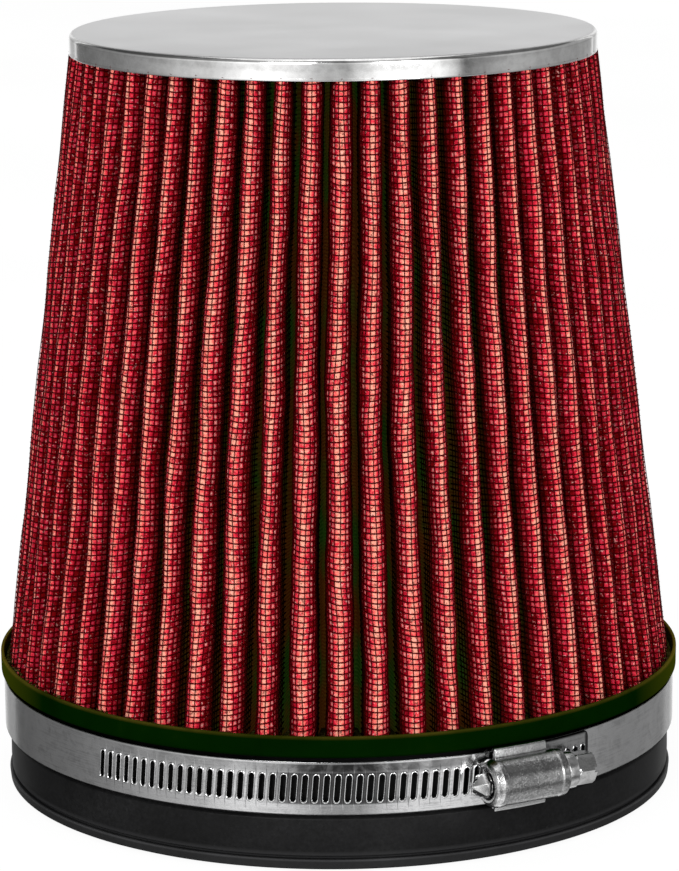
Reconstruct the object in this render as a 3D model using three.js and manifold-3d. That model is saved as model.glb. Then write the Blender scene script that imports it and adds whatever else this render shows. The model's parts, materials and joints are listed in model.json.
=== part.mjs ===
// A clamp-on cone air filter: a pleated gauze pack between two wire screens, a metal top cap,
// a base ring, a soft inlet neck and a worm-drive hose clamp.
// Millimetres, +Z up. The origin is the centre of the inlet mouth, in its bottom plane;
// the top cap is at the +Z end and the clamp screw faces the -Y side, a little towards +X.
//
// In names, R is a radius from the filter's axis (or the screw's, for the screw and its housing)
// and Z a height. A bearing is in degrees about +Z, from -Y towards +X.

import * as THREE from 'three';
import { mergeVertices } from 'three/addons/utils/BufferGeometryUtils.js';
import Module from 'manifold-3d';

const wasm = await Module();
wasm.setup();

const { degToRad, radToDeg, lerp, smoothstep } = THREE.MathUtils;

// ---- driving dimensions ------------------------------------------------------------

const RING_SEGMENTS = 60;          // facets of every piece turned about the filter's axis
const FIT_GAP = 0.05;              // between the potting and the wall around it

// top cap
const CAP_R = 64.35;
const CAP_TOP_Z = 187.3;
const CAP_SKIRT_Z = 182.2;         // lower edge of the skirt
const CAP_WALL = 1.0;
const CAP_UNDERSIDE_Z = CAP_TOP_Z - CAP_WALL - 0.05;

// inlet neck, with a bead round its mouth
const BORE_R = 76.2;
const BORE_CHAMFER = 0.8;
const MOUTH_R = 81.2;
const BEAD_R = 83.5;
const BEAD_TOP_Z = 3.0;
const NECK_R = 83.0;
const CLAMP_SEAT_R = 82.2;
const CLAMP_SEAT_Z = 13.3;         // lower end of the seat
const NECK_TOP_Z = 28.1;

// base ring: a channel round the lower ends of the pleats
const FLANGE_R = 85.0;
const PAN_INNER_R = 65.0;
const PAN_LIP_Z = 33.2;
const PAN_FLOOR_Z = 29.2;
const PAN_WALL = 1.1;
const PAN_INNER_WALL = 1.0;

// pleat pack: a cone set by its sizes at the lip of the base ring and at the cap's skirt
const PLEATS = 58;
const PLEAT_FOOT_Z = 30.4;
const PLEAT_TOP_Z = 182.1;
const FOLD_BEARING_AT_LIP = 0.1;   // one outer fold; the two bearings differ, so the pleats lean
const FOLD_BEARING_AT_CAP = 1.7;
const TIP_R_AT_LIP = 82.4;         // outermost surface of the folds
const TIP_R_AT_CAP = 64.2;
const PLEAT_DEPTH = 14.4;          // centre line, fold to fold
const OUTER_FOLD_HALF = 1.15;      // half the flat of the centre line, at an outer fold
const INNER_FOLD_HALF = 1.0;       // the same, at an inner fold
const SHEET = 0.36;                // thickness of one screen or one ply
const SHEET_GAP = 0.08;
const STACK = 4 * SHEET + 3 * SHEET_GAP;

// clamp strap: it starts under the housing, runs a full turn and laps over itself
const CLAMP_Z = 20.75;             // middle of the strap
const CLAMP_BEARING = 28.92;       // middle of the screw housing
const STRAP_WIDTH = 12.7;
const STRAP_THICKNESS = 0.7;
const STRAP_INNER_LAP_R = 83.15;   // inside of the strap, in the inner lap
const STRAP_FREE_R = 83.6;         // the same, between the laps
const STRAP_OUTER_LAP_R = 84.0;    // the same, in the outer lap
const STRAP_START_BEARING = 23.6;  // fixed end, inside the overlap
const STRAP_END_BEARING = 44.1;    // free end, a full turn further on
const STRAP_RISE = [46, 96];       // bearings where it eases from the inner lap to the free run
const STRAP_LIFT = [310, 373];     // and from the free run to the outer lap
const STRAP_END_CLIP = 1.1;        // taken off the free end at each edge
const STRAP_PLAIN_CELLS = 78;      // cells before the first slot
const SLOTS_PER_TURN = 209;        // the slot pitch as a share of a full circle
const SLOT_FIRST = -41;            // slot numbers, counted from the one under the housing's middle
const SLOT_LAST = 8;
const SLOT_WIDTH = 1.28;
const SLOT_LENGTH = 6.6;
const SLOT_LEAN = 0.1;             // tangential shift per millimetre of height

// clamp saddle
const SADDLE_R = 82.5;             // inside of its plate
const SADDLE_PLATE = 0.55;
const SADDLE_HALF = 7.05;          // half height beside the strap
const SADDLE_FOLD_HALF = 7.7;      // half height over the folded lips
const SADDLE_LIP_HALF = 5.9;       // half the opening between the lips' edges
const FOLD_HALF_LENGTH = 6.8;      // of the folded sides, along the strap
const FOLD_LENGTH_R = 85.5;        // where that length is measured
const TONGUE_HALF = 5.6;           // half height of the tongue at each end of the plate
const TONGUE_END = 7.6;            // degrees from the saddle's middle to a tongue's end
const TONGUE_OVERLAP = 0.5;        // degrees that a tongue runs into the folded part

// screw and housing, lengthwise from the middle of the housing, towards the head
const SCREW_OFFSET = 88.6;         // screw axis, from the filter's axis
const SCREW_CREST_R = 4.62;
const SCREW_CORE_R = 3.75;
const SCREW_TIP_R = 2.8;
const THREAD_ROOT_R = SCREW_CORE_R - 0.3;   // sunk into the core
const THREAD_ROOT_HALF = 0.62;     // half width of the thread at its root
const THREAD_CREST_HALF = 0.3;     // the same, at its crest
const THREAD_FROM = -8.6;
const THREAD_TO = 7.6;
const THREAD_STEPS = 14;           // facets in one turn of the thread
const THREAD_PITCH = (2 * Math.PI * (STRAP_OUTER_LAP_R + STRAP_THICKNESS / 2)) / SLOTS_PER_TURN;
const SCREW_SEGMENTS = 20;
const COLLAR_R = 4.5;
const HEX_R = 7.1 / Math.sqrt(3);  // corner radius, from the width across flats
const HEX_FROM = 13.2;
const HEX_LENGTH = 4.6;            // without its chamfered end
const HEX_CHAMFER = { length: 0.6, inset: 0.75 };
const HEX_TURN = 26.5;             // degrees about the screw's axis
const DRIVER_SLOT = { length: 14, depth: 1.6, width: 1.2, turn: -2.5 };
const HOUSING_R = 5.75;
const HOUSING_INNER_R = HOUSING_R - 0.75;
const HOUSING_FROM = -10.3;
const HOUSING_TO = 9.8;
const HOUSING_SEGMENTS = 28;
const HOUSING_FOOT = 85.6;         // underside of the housing, from the filter's axis
const HOUSING_FLANGE = { thickness: 0.8, edgeZ: 6.35, halfLength: FOLD_HALF_LENGTH - 0.2 };

// ---- materials ---------------------------------------------------------------------

const material = (settings) => new THREE.MeshStandardMaterial(settings);
const chrome = material({ color: 0xd4d6d8, roughness: 0.18, metalness: 1.0 });
const resin = material({ color: 0xcfc9b4, roughness: 0.55, metalness: 0.0 });
const darkWire = material({ color: 0x3a1a18, roughness: 0.45, metalness: 0.6 });
const redGauze = material({ color: 0xc3203c, roughness: 0.7, metalness: 0.0 });
const greenRing = material({ color: 0x0b1f0a, roughness: 0.3, metalness: 0.0 });
const blackRubber = material({ color: 0x17181a, roughness: 0.75, metalness: 0.0 });
const stainless = material({ color: 0xa9acae, roughness: 0.3, metalness: 1.0 });
const plated = material({ color: 0xbfc1c3, roughness: 0.35, metalness: 1.0 });

// ---- meshes and solids ---------------------------------------------------------------

// Keeps only position, welds shared vertices and turns every face outwards.
function closed(geometry) {
  const bare = geometry.clone();
  bare.deleteAttribute('normal');
  bare.deleteAttribute('uv');
  const welded = mergeVertices(bare, 1e-4);
  const corners = Array.from(welded.index.array);
  const corner = (i) => new THREE.Vector3().fromBufferAttribute(welded.attributes.position, i);
  const kept = [];
  let volume = 0;
  for (let i = 0; i < corners.length; i += 3) {
    const [a, b, c] = corners.slice(i, i + 3);
    if (a === b || b === c || c === a) continue;
    kept.push(a, b, c);
    volume += corner(a).dot(corner(b).cross(corner(c))) / 6;
  }
  if (volume < 0) {
    for (let i = 0; i < kept.length; i += 3) {
      [kept[i + 1], kept[i + 2]] = [kept[i + 2], kept[i + 1]];
    }
  }
  welded.setIndex(kept);
  welded.computeVertexNormals();
  return welded;
}

function toManifold(geometry) {
  const mesh = closed(geometry);
  return new wasm.Manifold(new wasm.Mesh({
    numProp: 3,
    vertProperties: new Float32Array(mesh.attributes.position.array),
    triVerts: new Uint32Array(mesh.index.array),
  }));
}

const union = (...geometries) => geometries.map(toManifold).reduce((sum, part) => sum.add(part));

function fromManifold(solid) {
  const mesh = solid.getMesh();
  const geometry = new THREE.BufferGeometry();
  const positions = new Float32Array(mesh.vertProperties);
  geometry.setAttribute('position', new THREE.BufferAttribute(positions, 3));
  geometry.setIndex(Array.from(mesh.triVerts));
  return closed(geometry);
}

// Collects a surface face by face; vertex() returns the number of the vertex it adds.
function surface() {
  const positions = [];
  const index = [];
  const vertex = ({ x, y, z }) => {
    positions.push(x, y, z);
    return positions.length / 3 - 1;
  };
  const triangle = (a, b, c) => index.push(a, b, c);
  const quad = (a, b, c, d) => {
    triangle(a, b, c);
    triangle(a, c, d);
  };
  const build = () => {
    const geometry = new THREE.BufferGeometry();
    geometry.setAttribute('position', new THREE.Float32BufferAttribute(positions, 3));
    geometry.setIndex(index);
    return closed(geometry);
  };
  return { vertex, triangle, quad, build };
}

// ---- shapes ----------------------------------------------------------------------------

// A lathe about Y from [radius, y] points. A profile that starts off the axis is closed here.
function lathe(points, segments) {
  const profile = points.map(([r, y]) => new THREE.Vector2(r, y));
  if (points[0][0] !== 0) profile.push(profile[0].clone());
  return new THREE.LatheGeometry(profile, segments);
}

// A solid of revolution about the filter's axis from [radius, z] points.
const turned = (points) => closed(lathe(points, RING_SEGMENTS).rotateX(Math.PI / 2));

// The same about the screw's axis, in the clamp's own frame, from [radius, y] points.
const turnedOnScrew = (points, segments) =>
  closed(lathe(points, segments).translate(SCREW_OFFSET, 0, 0));

// The point at a radius, bearing and height.
function at(r, bearing, z) {
  const angle = degToRad(bearing);
  return new THREE.Vector3(r * Math.sin(angle), -r * Math.cos(angle), z);
}

// Triangles that fill a flat loop of points, as positions in the loop.
function fillLoop(loop) {
  const origin = loop[0];
  const arm = (i) => loop[i % loop.length].clone().sub(origin);
  const normal = new THREE.Vector3();
  loop.forEach((_, i) => normal.add(arm(i).cross(arm(i + 1))));
  normal.normalize();
  const across = arm(1).normalize();
  const up = normal.clone().cross(across);
  const flat = loop.map((_, i) => new THREE.Vector2(arm(i).dot(across), arm(i).dot(up)));
  return THREE.ShapeUtils.triangulateShape(flat, []);
}

// A solid through a list of equal closed loops of points, with flat ends.
function lofted(loops) {
  const { vertex, triangle, quad, build } = surface();
  const rings = loops.map((loop) => loop.map(vertex));
  for (let k = 0; k + 1 < rings.length; k++) {
    const [ring, next] = [rings[k], rings[k + 1]];
    for (let i = 0; i < ring.length; i++) {
      const j = (i + 1) % ring.length;
      quad(ring[i], ring[j], next[j], next[i]);
    }
  }
  const [first, last] = [rings[0], rings.at(-1)];
  for (const [a, b, c] of fillLoop(loops[0])) triangle(first[a], first[c], first[b]);
  for (const [a, b, c] of fillLoop(loops.at(-1))) triangle(last[a], last[b], last[c]);
  return build();
}

// Part of a ring: a [radius, z] profile swept from one bearing to another.
function swept(profile, from, to, steps) {
  const loops = [];
  for (let k = 0; k <= steps; k++) {
    const bearing = from + ((to - from) * k) / steps;
    loops.push(profile.map(([r, z]) => at(r, bearing, z)));
  }
  return lofted(loops);
}

// A prism along Y from [x, z] points.
const prism = (points, from, to) =>
  lofted([from, to].map((y) => points.map(([x, z]) => new THREE.Vector3(x, y, z))));

// ---- inlet neck and base ring: profiles as [radius, z] -----------------------------------

const inletNeck = () => turned([
  [BORE_R + BORE_CHAMFER, 0],
  [MOUTH_R, 0],
  [BEAD_R - 0.2, 1.0],
  [BEAD_R, BEAD_TOP_Z],
  [NECK_R - 0.4, BEAD_TOP_Z + 0.4],
  [NECK_R, 7.0],
  [NECK_R, CLAMP_SEAT_Z - 0.4],
  [CLAMP_SEAT_R, CLAMP_SEAT_Z],
  [CLAMP_SEAT_R, NECK_TOP_Z],
  [BORE_R, NECK_TOP_Z],
  [BORE_R, BORE_CHAMFER],
]);

const basePan = () => turned([
  [PAN_INNER_R, NECK_TOP_Z],
  [FLANGE_R - 0.6, NECK_TOP_Z],
  [FLANGE_R - 0.05, NECK_TOP_Z + 0.7],
  [FLANGE_R, PAN_LIP_Z - 0.4],
  [FLANGE_R - 0.4, PAN_LIP_Z],
  [FLANGE_R - PAN_WALL, PAN_LIP_Z - 0.2],
  [FLANGE_R - PAN_WALL, PAN_FLOOR_Z],
  [PAN_INNER_R + PAN_INNER_WALL, PAN_FLOOR_Z],
  [PAN_INNER_R + PAN_INNER_WALL, PLEAT_FOOT_Z + 1.0],
  [PAN_INNER_R, PLEAT_FOOT_Z + 1.0],
]);

function basePotting() {
  const inner = PAN_INNER_R + PAN_INNER_WALL + FIT_GAP;
  const outer = FLANGE_R - PAN_WALL - FIT_GAP;
  return turned([
    [inner, PAN_FLOOR_Z],
    [outer, PAN_FLOOR_Z],
    [outer, PLEAT_FOOT_Z],
    [inner, PLEAT_FOOT_Z],
  ]);
}

// ---- pleat pack ----------------------------------------------------------------------

// The centre line of the pack at a height: four points for each pleat, in the plane.
function centreLine(z) {
  const share = (z - PAN_LIP_Z) / (CAP_SKIRT_Z - PAN_LIP_Z);
  const outerR = lerp(TIP_R_AT_LIP, TIP_R_AT_CAP, share) - STACK / 2;
  const innerR = outerR - PLEAT_DEPTH;
  const firstFold = degToRad(lerp(FOLD_BEARING_AT_LIP, FOLD_BEARING_AT_CAP, share));
  const points = [];
  const addFold = (angle, r, half) => {
    const [cos, sin] = [Math.cos(angle), Math.sin(angle)];
    for (const side of [-half, half]) {
      points.push(new THREE.Vector2(r * sin + side * cos, -r * cos + side * sin));
    }
  };
  for (let i = 0; i < PLEATS; i++) {
    const outerFold = firstFold + (i * 2 * Math.PI) / PLEATS;
    addFold(outerFold, outerR, OUTER_FOLD_HALF);
    addFold(outerFold + Math.PI / PLEATS, innerR, INNER_FOLD_HALF);
  }
  return points;
}

// A closed loop moved sideways, outwards for a positive distance, with mitred corners.
function offsetLoop(points, distance) {
  const count = points.length;
  const edgeNormal = (from, to) => {
    const edge = to.clone().sub(from).normalize();
    return new THREE.Vector2(edge.y, -edge.x);
  };
  return points.map((point, i) => {
    const before = edgeNormal(points[(i + count - 1) % count], point);
    const after = edgeNormal(point, points[(i + 1) % count]);
    const mitre = before.clone().add(after);
    return point.clone().add(mitre.multiplyScalar(distance / (1 + before.dot(after))));
  });
}

// One sheet of the pack; layer 0 is the innermost.
function pleatedSheet(layer) {
  const inside = -STACK / 2 + layer * (SHEET + SHEET_GAP);
  const { vertex, quad, build } = surface();
  const loopAt = (z, offset) =>
    offsetLoop(centreLine(z), offset).map(({ x, y }) => vertex({ x, y, z }));
  const [foot, top] = [PLEAT_FOOT_Z, PLEAT_TOP_Z].map((z) => ({
    outer: loopAt(z, inside + SHEET),
    inner: loopAt(z, inside),
  }));
  const count = foot.outer.length;
  for (let i = 0; i < count; i++) {
    const j = (i + 1) % count;
    // Both faces are split on the same diagonal, so the sheet keeps its thickness.
    quad(foot.outer[i], foot.outer[j], top.outer[j], top.outer[i]);
    quad(foot.inner[i], top.inner[i], top.inner[j], foot.inner[j]);
    quad(foot.inner[i], foot.inner[j], foot.outer[j], foot.outer[i]);
    quad(top.outer[i], top.outer[j], top.inner[j], top.inner[i]);
  }
  return build();
}

// ---- top cap and its potting: profiles as [radius, z] ------------------------------------

function capPotting() {
  const edge = CAP_R - CAP_WALL - FIT_GAP;
  const top = CAP_UNDERSIDE_Z - FIT_GAP;
  return turned([[0, PLEAT_TOP_Z], [edge, PLEAT_TOP_Z], [edge, top], [0, top]]);
}

const topCap = () => turned([
  [0, CAP_UNDERSIDE_Z],
  [CAP_R - CAP_WALL, CAP_UNDERSIDE_Z],
  [CAP_R - CAP_WALL, CAP_SKIRT_Z],
  [CAP_R, CAP_SKIRT_Z],
  [CAP_R, CAP_TOP_Z - 1.3],
  [CAP_R - 0.35, CAP_TOP_Z - 0.4],
  [CAP_R - 1.1, CAP_TOP_Z],
  [0, CAP_TOP_Z],
]);

// ---- clamp strap -----------------------------------------------------------------------

// Inner radius of the strap at a bearing that runs on past a full turn.
function strapInnerR(bearing) {
  return STRAP_INNER_LAP_R
    + (STRAP_FREE_R - STRAP_INNER_LAP_R) * smoothstep(bearing, ...STRAP_RISE)
    + (STRAP_OUTER_LAP_R - STRAP_FREE_R) * smoothstep(bearing, ...STRAP_LIFT);
}

// A point of the strap; z is from its middle.
function strapPoint(bearing, z, isOuter) {
  const r = strapInnerR(bearing) + (isOuter ? STRAP_THICKNESS : 0);
  return at(r, bearing, CLAMP_Z + z);
}

// Bearings of the cell ends: plain cells, one cell for each slot, and a plain one at the free end.
function strapStations() {
  const slotEdge = (slot) => 360 + CLAMP_BEARING + (slot * 360) / SLOTS_PER_TURN;
  const plainRun = slotEdge(SLOT_FIRST - 0.5) - STRAP_START_BEARING;
  const stations = [];
  for (let k = 0; k <= STRAP_PLAIN_CELLS; k++) {
    stations.push(STRAP_START_BEARING + (plainRun * k) / STRAP_PLAIN_CELLS);
  }
  for (let slot = SLOT_FIRST; slot <= SLOT_LAST; slot++) stations.push(slotEdge(slot + 0.5));
  stations.push(360 + STRAP_END_BEARING);
  return stations;
}

// Corners of the leaning slot between two bearings, as [share of the cell, z].
function slotCorners(from, to) {
  const length = degToRad(to - from) * (strapInnerR((from + to) / 2) + STRAP_THICKNESS / 2);
  return [[-1, -1], [1, -1], [1, 1], [-1, 1]].map(([side, end]) => {
    const z = (end * SLOT_LENGTH) / 2;
    return [0.5 + ((side * SLOT_WIDTH) / 2 + z * SLOT_LEAN) / length, z];
  });
}

function clampStrap() {
  const { vertex, quad, build } = surface();
  const stations = strapStations();
  const cells = stations.length - 1;
  // The four corners of the strap's section at each station.
  const sections = stations.map((bearing, i) => {
    const half = STRAP_WIDTH / 2 - (i === cells ? STRAP_END_CLIP : 0);
    const corner = (z, isOuter) => vertex(strapPoint(bearing, z, isOuter));
    return {
      outerLow: corner(-half, true), outerHigh: corner(half, true),
      innerLow: corner(-half, false), innerHigh: corner(half, false),
    };
  });
  for (let i = 0; i < cells; i++) {
    const [a, b] = [sections[i], sections[i + 1]];
    const outer = [a.outerLow, b.outerLow, b.outerHigh, a.outerHigh];
    const inner = [a.innerLow, b.innerLow, b.innerHigh, a.innerHigh];
    quad(a.innerLow, b.innerLow, b.outerLow, a.outerLow);
    quad(a.outerHigh, b.outerHigh, b.innerHigh, a.innerHigh);
    const isSlotted = i >= STRAP_PLAIN_CELLS && i < cells - 1;
    if (!isSlotted) {
      quad(...outer);
      quad(...inner.reverse());
      continue;
    }
    // The slot's corners lie in the flat facet between the cell's two ends.
    const [from, to] = [stations[i], stations[i + 1]];
    const corners = slotCorners(from, to);
    const [holeOuter, holeInner] = [true, false].map((isOuter) => corners.map(([share, z]) =>
      vertex(strapPoint(from, z, isOuter).lerp(strapPoint(to, z, isOuter), share))));
    for (let k = 0; k < 4; k++) {
      const next = (k + 1) % 4;
      quad(outer[k], outer[next], holeOuter[next], holeOuter[k]);
      quad(inner[next], inner[k], holeInner[k], holeInner[next]);
      quad(holeOuter[k], holeOuter[next], holeInner[next], holeInner[k]);
    }
  }
  const [start, end] = [sections[0], sections[cells]];
  quad(start.innerLow, start.outerLow, start.outerHigh, start.innerHigh);
  quad(end.outerLow, end.innerLow, end.innerHigh, end.outerHigh);
  return build();
}

// ---- clamp saddle: a curved plate under the strap whose sides fold outwards and over -----

function clampSaddle() {
  const plateOuter = SADDLE_R + SADDLE_PLATE;
  // [radius, z from the strap's middle]; the upper half runs from the plate's inside, round
  // the lip and back to the plate's outside.
  const upperHalf = [
    [SADDLE_R, SADDLE_HALF],
    [85.4, SADDLE_HALF],
    [86.3, SADDLE_FOLD_HALF],
    [87.3, SADDLE_FOLD_HALF - 0.15],
    [87.5, SADDLE_LIP_HALF],
    [86.85, SADDLE_LIP_HALF],
    [86.85, SADDLE_FOLD_HALF - 0.65],
    [86.4, SADDLE_FOLD_HALF - 0.65],
    [85.5, SADDLE_HALF - 0.5],
    [plateOuter, SADDLE_HALF - 0.5],
  ];
  const lowerHalf = upperHalf.map(([r, z]) => [r, -z]).reverse();
  const tongue = [
    [SADDLE_R, -TONGUE_HALF], [plateOuter, -TONGUE_HALF],
    [plateOuter, TONGUE_HALF], [SADDLE_R, TONGUE_HALF],
  ];
  const foldEnd = radToDeg(FOLD_HALF_LENGTH / FOLD_LENGTH_R);
  const tongueStart = foldEnd - TONGUE_OVERLAP;
  const sweep = (profile, from, to, steps) => swept(
    profile.map(([r, z]) => [r, CLAMP_Z + z]), CLAMP_BEARING + from, CLAMP_BEARING + to, steps,
  );
  return fromManifold(union(
    sweep([...upperHalf, ...lowerHalf], -foldEnd, foldEnd, 6),
    sweep(tongue, -TONGUE_END, -tongueStart, 3),
    sweep(tongue, tongueStart, TONGUE_END, 3),
  ));
}

// ---- screw and housing, in the clamp's own frame ------------------------------------------
// x points outwards from the filter's axis, y along the screw towards its head, z up.

// A barrel over the screw, open towards the strap, with a flange along each side.
function clampHousing() {
  // [radius, y]
  const barrel = turnedOnScrew([
    [SCREW_TIP_R + 0.4, HOUSING_FROM],
    [HOUSING_R - 1.1, HOUSING_FROM],
    [HOUSING_R - 0.3, HOUSING_FROM + 0.6],
    [HOUSING_R, HOUSING_FROM + 1.6],
    [HOUSING_R, HOUSING_TO - 1.8],
    [HOUSING_R - 0.35, HOUSING_TO],
    [SCREW_CORE_R + 0.35, HOUSING_TO],
    [SCREW_CORE_R + 0.35, HOUSING_TO - 0.8],
    [HOUSING_INNER_R, HOUSING_TO - 0.8],
    [HOUSING_INNER_R, HOUSING_FROM + 1.0],
    [SCREW_TIP_R + 0.4, HOUSING_FROM + 1.0],
  ], HOUSING_SEGMENTS);
  const belowFoot = new THREE.BoxGeometry(10, 40, 20).translate(HOUSING_FOOT - 5, 0, 0);

  const { thickness, edgeZ, halfLength } = HOUSING_FLANGE;
  const flangeTop = HOUSING_FOOT + thickness;
  // The flange starts just outside the barrel's inner surface.
  const rootZ = Math.sqrt(HOUSING_INNER_R ** 2 - (SCREW_OFFSET - HOUSING_FOOT) ** 2) + 0.05;
  const flange = (side) => prism([
    [HOUSING_FOOT, side * rootZ],
    [HOUSING_FOOT, side * edgeZ],
    [flangeTop, side * edgeZ],
    [flangeTop, side * (rootZ + 0.9)],
  ], -halfLength, halfLength);
  return fromManifold(toManifold(barrel)
    .subtract(toManifold(belowFoot))
    .add(toManifold(flange(1)))
    .add(toManifold(flange(-1))));
}

// The thread's middle crosses the side nearest the strap at y = 0.
function screwThread() {
  // [radius, y from the thread's middle]
  const section = [
    [THREAD_ROOT_R, -THREAD_ROOT_HALF], [SCREW_CREST_R, -THREAD_CREST_HALF],
    [SCREW_CREST_R, THREAD_CREST_HALF], [THREAD_ROOT_R, THREAD_ROOT_HALF],
  ];
  const length = THREAD_TO - THREAD_FROM;
  const steps = Math.round((length / THREAD_PITCH) * THREAD_STEPS);
  const loops = [];
  for (let k = 0; k <= steps; k++) {
    const middle = THREAD_FROM + (length * k) / steps;
    const angle = (middle / THREAD_PITCH) * 2 * Math.PI - Math.PI / 2;
    const [cos, sin] = [Math.cos(angle), Math.sin(angle)];
    loops.push(section.map(([r, y]) =>
      new THREE.Vector3(SCREW_OFFSET + r * sin, middle + y, r * cos)));
  }
  return lofted(loops);
}

// Pointed tip, threaded core, collar and slotted hexagon head.
function clampScrew() {
  // [radius, y]
  const core = turnedOnScrew([
    [0, -14.1],
    [0.8, -13.7],
    [SCREW_TIP_R, -11.6],
    [SCREW_TIP_R, -9.1],
    [SCREW_CORE_R, -8.9],
    [SCREW_CORE_R, HOUSING_TO + 0.3],
    [COLLAR_R, HOUSING_TO + 0.35],
    [COLLAR_R, HEX_FROM - 0.3],
    [3.6, HEX_FROM + 0.1],
    [0, HEX_FROM + 0.1],
  ], SCREW_SEGMENTS);
  const onAxis = (geometry, turn, y) =>
    geometry.rotateY(degToRad(turn)).translate(SCREW_OFFSET, y, 0);
  const hexagon = (endR, length, from) =>
    onAxis(new THREE.CylinderGeometry(endR, HEX_R, length, 6, 1), HEX_TURN, from + length / 2);
  const chamferFrom = HEX_FROM + HEX_LENGTH;
  const { length, depth, width, turn } = DRIVER_SLOT;
  const slot = onAxis(
    new THREE.BoxGeometry(length, depth, width), turn, chamferFrom + HEX_CHAMFER.length / 2,
  );
  return fromManifold(union(
    core,
    screwThread(),
    hexagon(HEX_R, HEX_LENGTH, HEX_FROM),
    hexagon(HEX_R - HEX_CHAMFER.inset, HEX_CHAMFER.length, chamferFrom),
  ).subtract(toManifold(slot)));
}

// ---- assembly --------------------------------------------------------------------------

function add(parent, name, geometry, surfaceMaterial) {
  const mesh = new THREE.Mesh(geometry, surfaceMaterial);
  mesh.name = name;
  parent.add(mesh);
}

const root = new THREE.Group();
add(root, 'inlet_neck', inletNeck(), blackRubber);
add(root, 'base_pan', basePan(), greenRing);
add(root, 'base_potting', basePotting(), resin);
add(root, 'inner_screen', pleatedSheet(0), darkWire);
add(root, 'gauze_ply_inner', pleatedSheet(1), redGauze);
add(root, 'gauze_ply_outer', pleatedSheet(2), redGauze);
add(root, 'outer_screen', pleatedSheet(3), darkWire);
add(root, 'cap_potting', capPotting(), resin);
add(root, 'top_cap', topCap(), chrome);
add(root, 'clamp_strap', clampStrap(), stainless);
add(root, 'clamp_saddle', clampSaddle(), plated);

const clamp = new THREE.Group();
clamp.position.set(0, 0, CLAMP_Z);
clamp.rotation.z = degToRad(CLAMP_BEARING - 90);
root.add(clamp);
add(clamp, 'clamp_housing', clampHousing(), plated);
add(clamp, 'clamp_screw', clampScrew(), stainless);

export default root;
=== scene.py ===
"""A tapered, pleated oiled-gauze filter: spun cap, base ring, rubber neck and slotted strap clamp.

It stands on its neck at z = 0 with its axis on Z. The camera looks at its front from -Y.
A bearing is an angle about Z, 0 at the front (-Y) and growing towards +X.
"""
import json
import math
from functools import cached_property

import bmesh
import bpy
import numpy as np
from mathutils import Matrix, Vector


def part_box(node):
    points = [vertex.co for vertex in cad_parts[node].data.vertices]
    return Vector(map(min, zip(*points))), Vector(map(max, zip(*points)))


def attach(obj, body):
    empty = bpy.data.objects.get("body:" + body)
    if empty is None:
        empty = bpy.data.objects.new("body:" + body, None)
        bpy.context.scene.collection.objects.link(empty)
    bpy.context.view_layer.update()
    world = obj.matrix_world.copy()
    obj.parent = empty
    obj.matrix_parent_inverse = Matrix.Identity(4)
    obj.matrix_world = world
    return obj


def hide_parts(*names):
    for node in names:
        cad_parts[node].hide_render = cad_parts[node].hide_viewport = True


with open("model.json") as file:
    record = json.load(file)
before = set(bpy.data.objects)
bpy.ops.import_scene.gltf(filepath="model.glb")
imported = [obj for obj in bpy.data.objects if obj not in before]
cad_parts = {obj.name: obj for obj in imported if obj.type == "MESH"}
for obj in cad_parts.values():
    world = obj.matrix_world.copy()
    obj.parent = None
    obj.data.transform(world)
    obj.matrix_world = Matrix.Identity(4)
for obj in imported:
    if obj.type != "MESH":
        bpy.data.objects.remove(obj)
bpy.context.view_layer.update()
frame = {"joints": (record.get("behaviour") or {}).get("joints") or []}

MM = 0.001
TAU = math.tau
rng = np.random.default_rng(7)

# ------------------------------------------------------------ places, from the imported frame
NECK_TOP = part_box("inlet_neck")[1].z
pan_lo, pan_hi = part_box("base_pan")
PAN_R, LIP_Z, PAN_Z = pan_hi.x, pan_hi.z, pan_lo.z
cap_lo, cap_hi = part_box("top_cap")
CAP_R, CAP_Z, SKIRT_Z = cap_hi.x, cap_hi.z, cap_lo.z
fold_lo, fold_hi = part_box("outer_screen")
FOOT_Z, TOP_Z = fold_lo.z, fold_hi.z
strap_lo, strap_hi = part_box("clamp_strap")
STRAP_Z = (strap_lo.z + strap_hi.z) / 2
STRAP_HALF = (strap_hi.z - strap_lo.z) / 2

screw_joint = next(j for j in frame["joints"] if j["name"] == "screw_turn")
# a joint may give its place under either key
screw_at = Vector(screw_joint["pos"] if "pos" in screw_joint else screw_joint["pos_m"])
CLAMP_AZ = math.degrees(math.atan2(screw_at.x, -screw_at.y))
SCREW_OUT = math.hypot(screw_at.x, screw_at.y)      # from the Z axis to the screw's axis

# slots of the strap, which the steel shader also follows
SLOTS = 209                                         # that would fill a whole turn
SLOT_HALF_W, SLOT_HALF_L = 0.58 * MM, 3.28 * MM
SLOT_LEAN = 0.085                                   # sideways per unit of height


# ------------------------------------------------------------ mesh helpers
def smooth(value):
    """0 to 1 with a soft start and end."""
    t = np.clip(value, 0.0, 1.0)
    return t * t * (3 - 2 * t)


def polar(radius, angle, z):
    """Points at a radius, a bearing in radians and a height."""
    return np.stack(np.broadcast_arrays(radius * np.sin(angle), -radius * np.cos(angle), z), -1)


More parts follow.
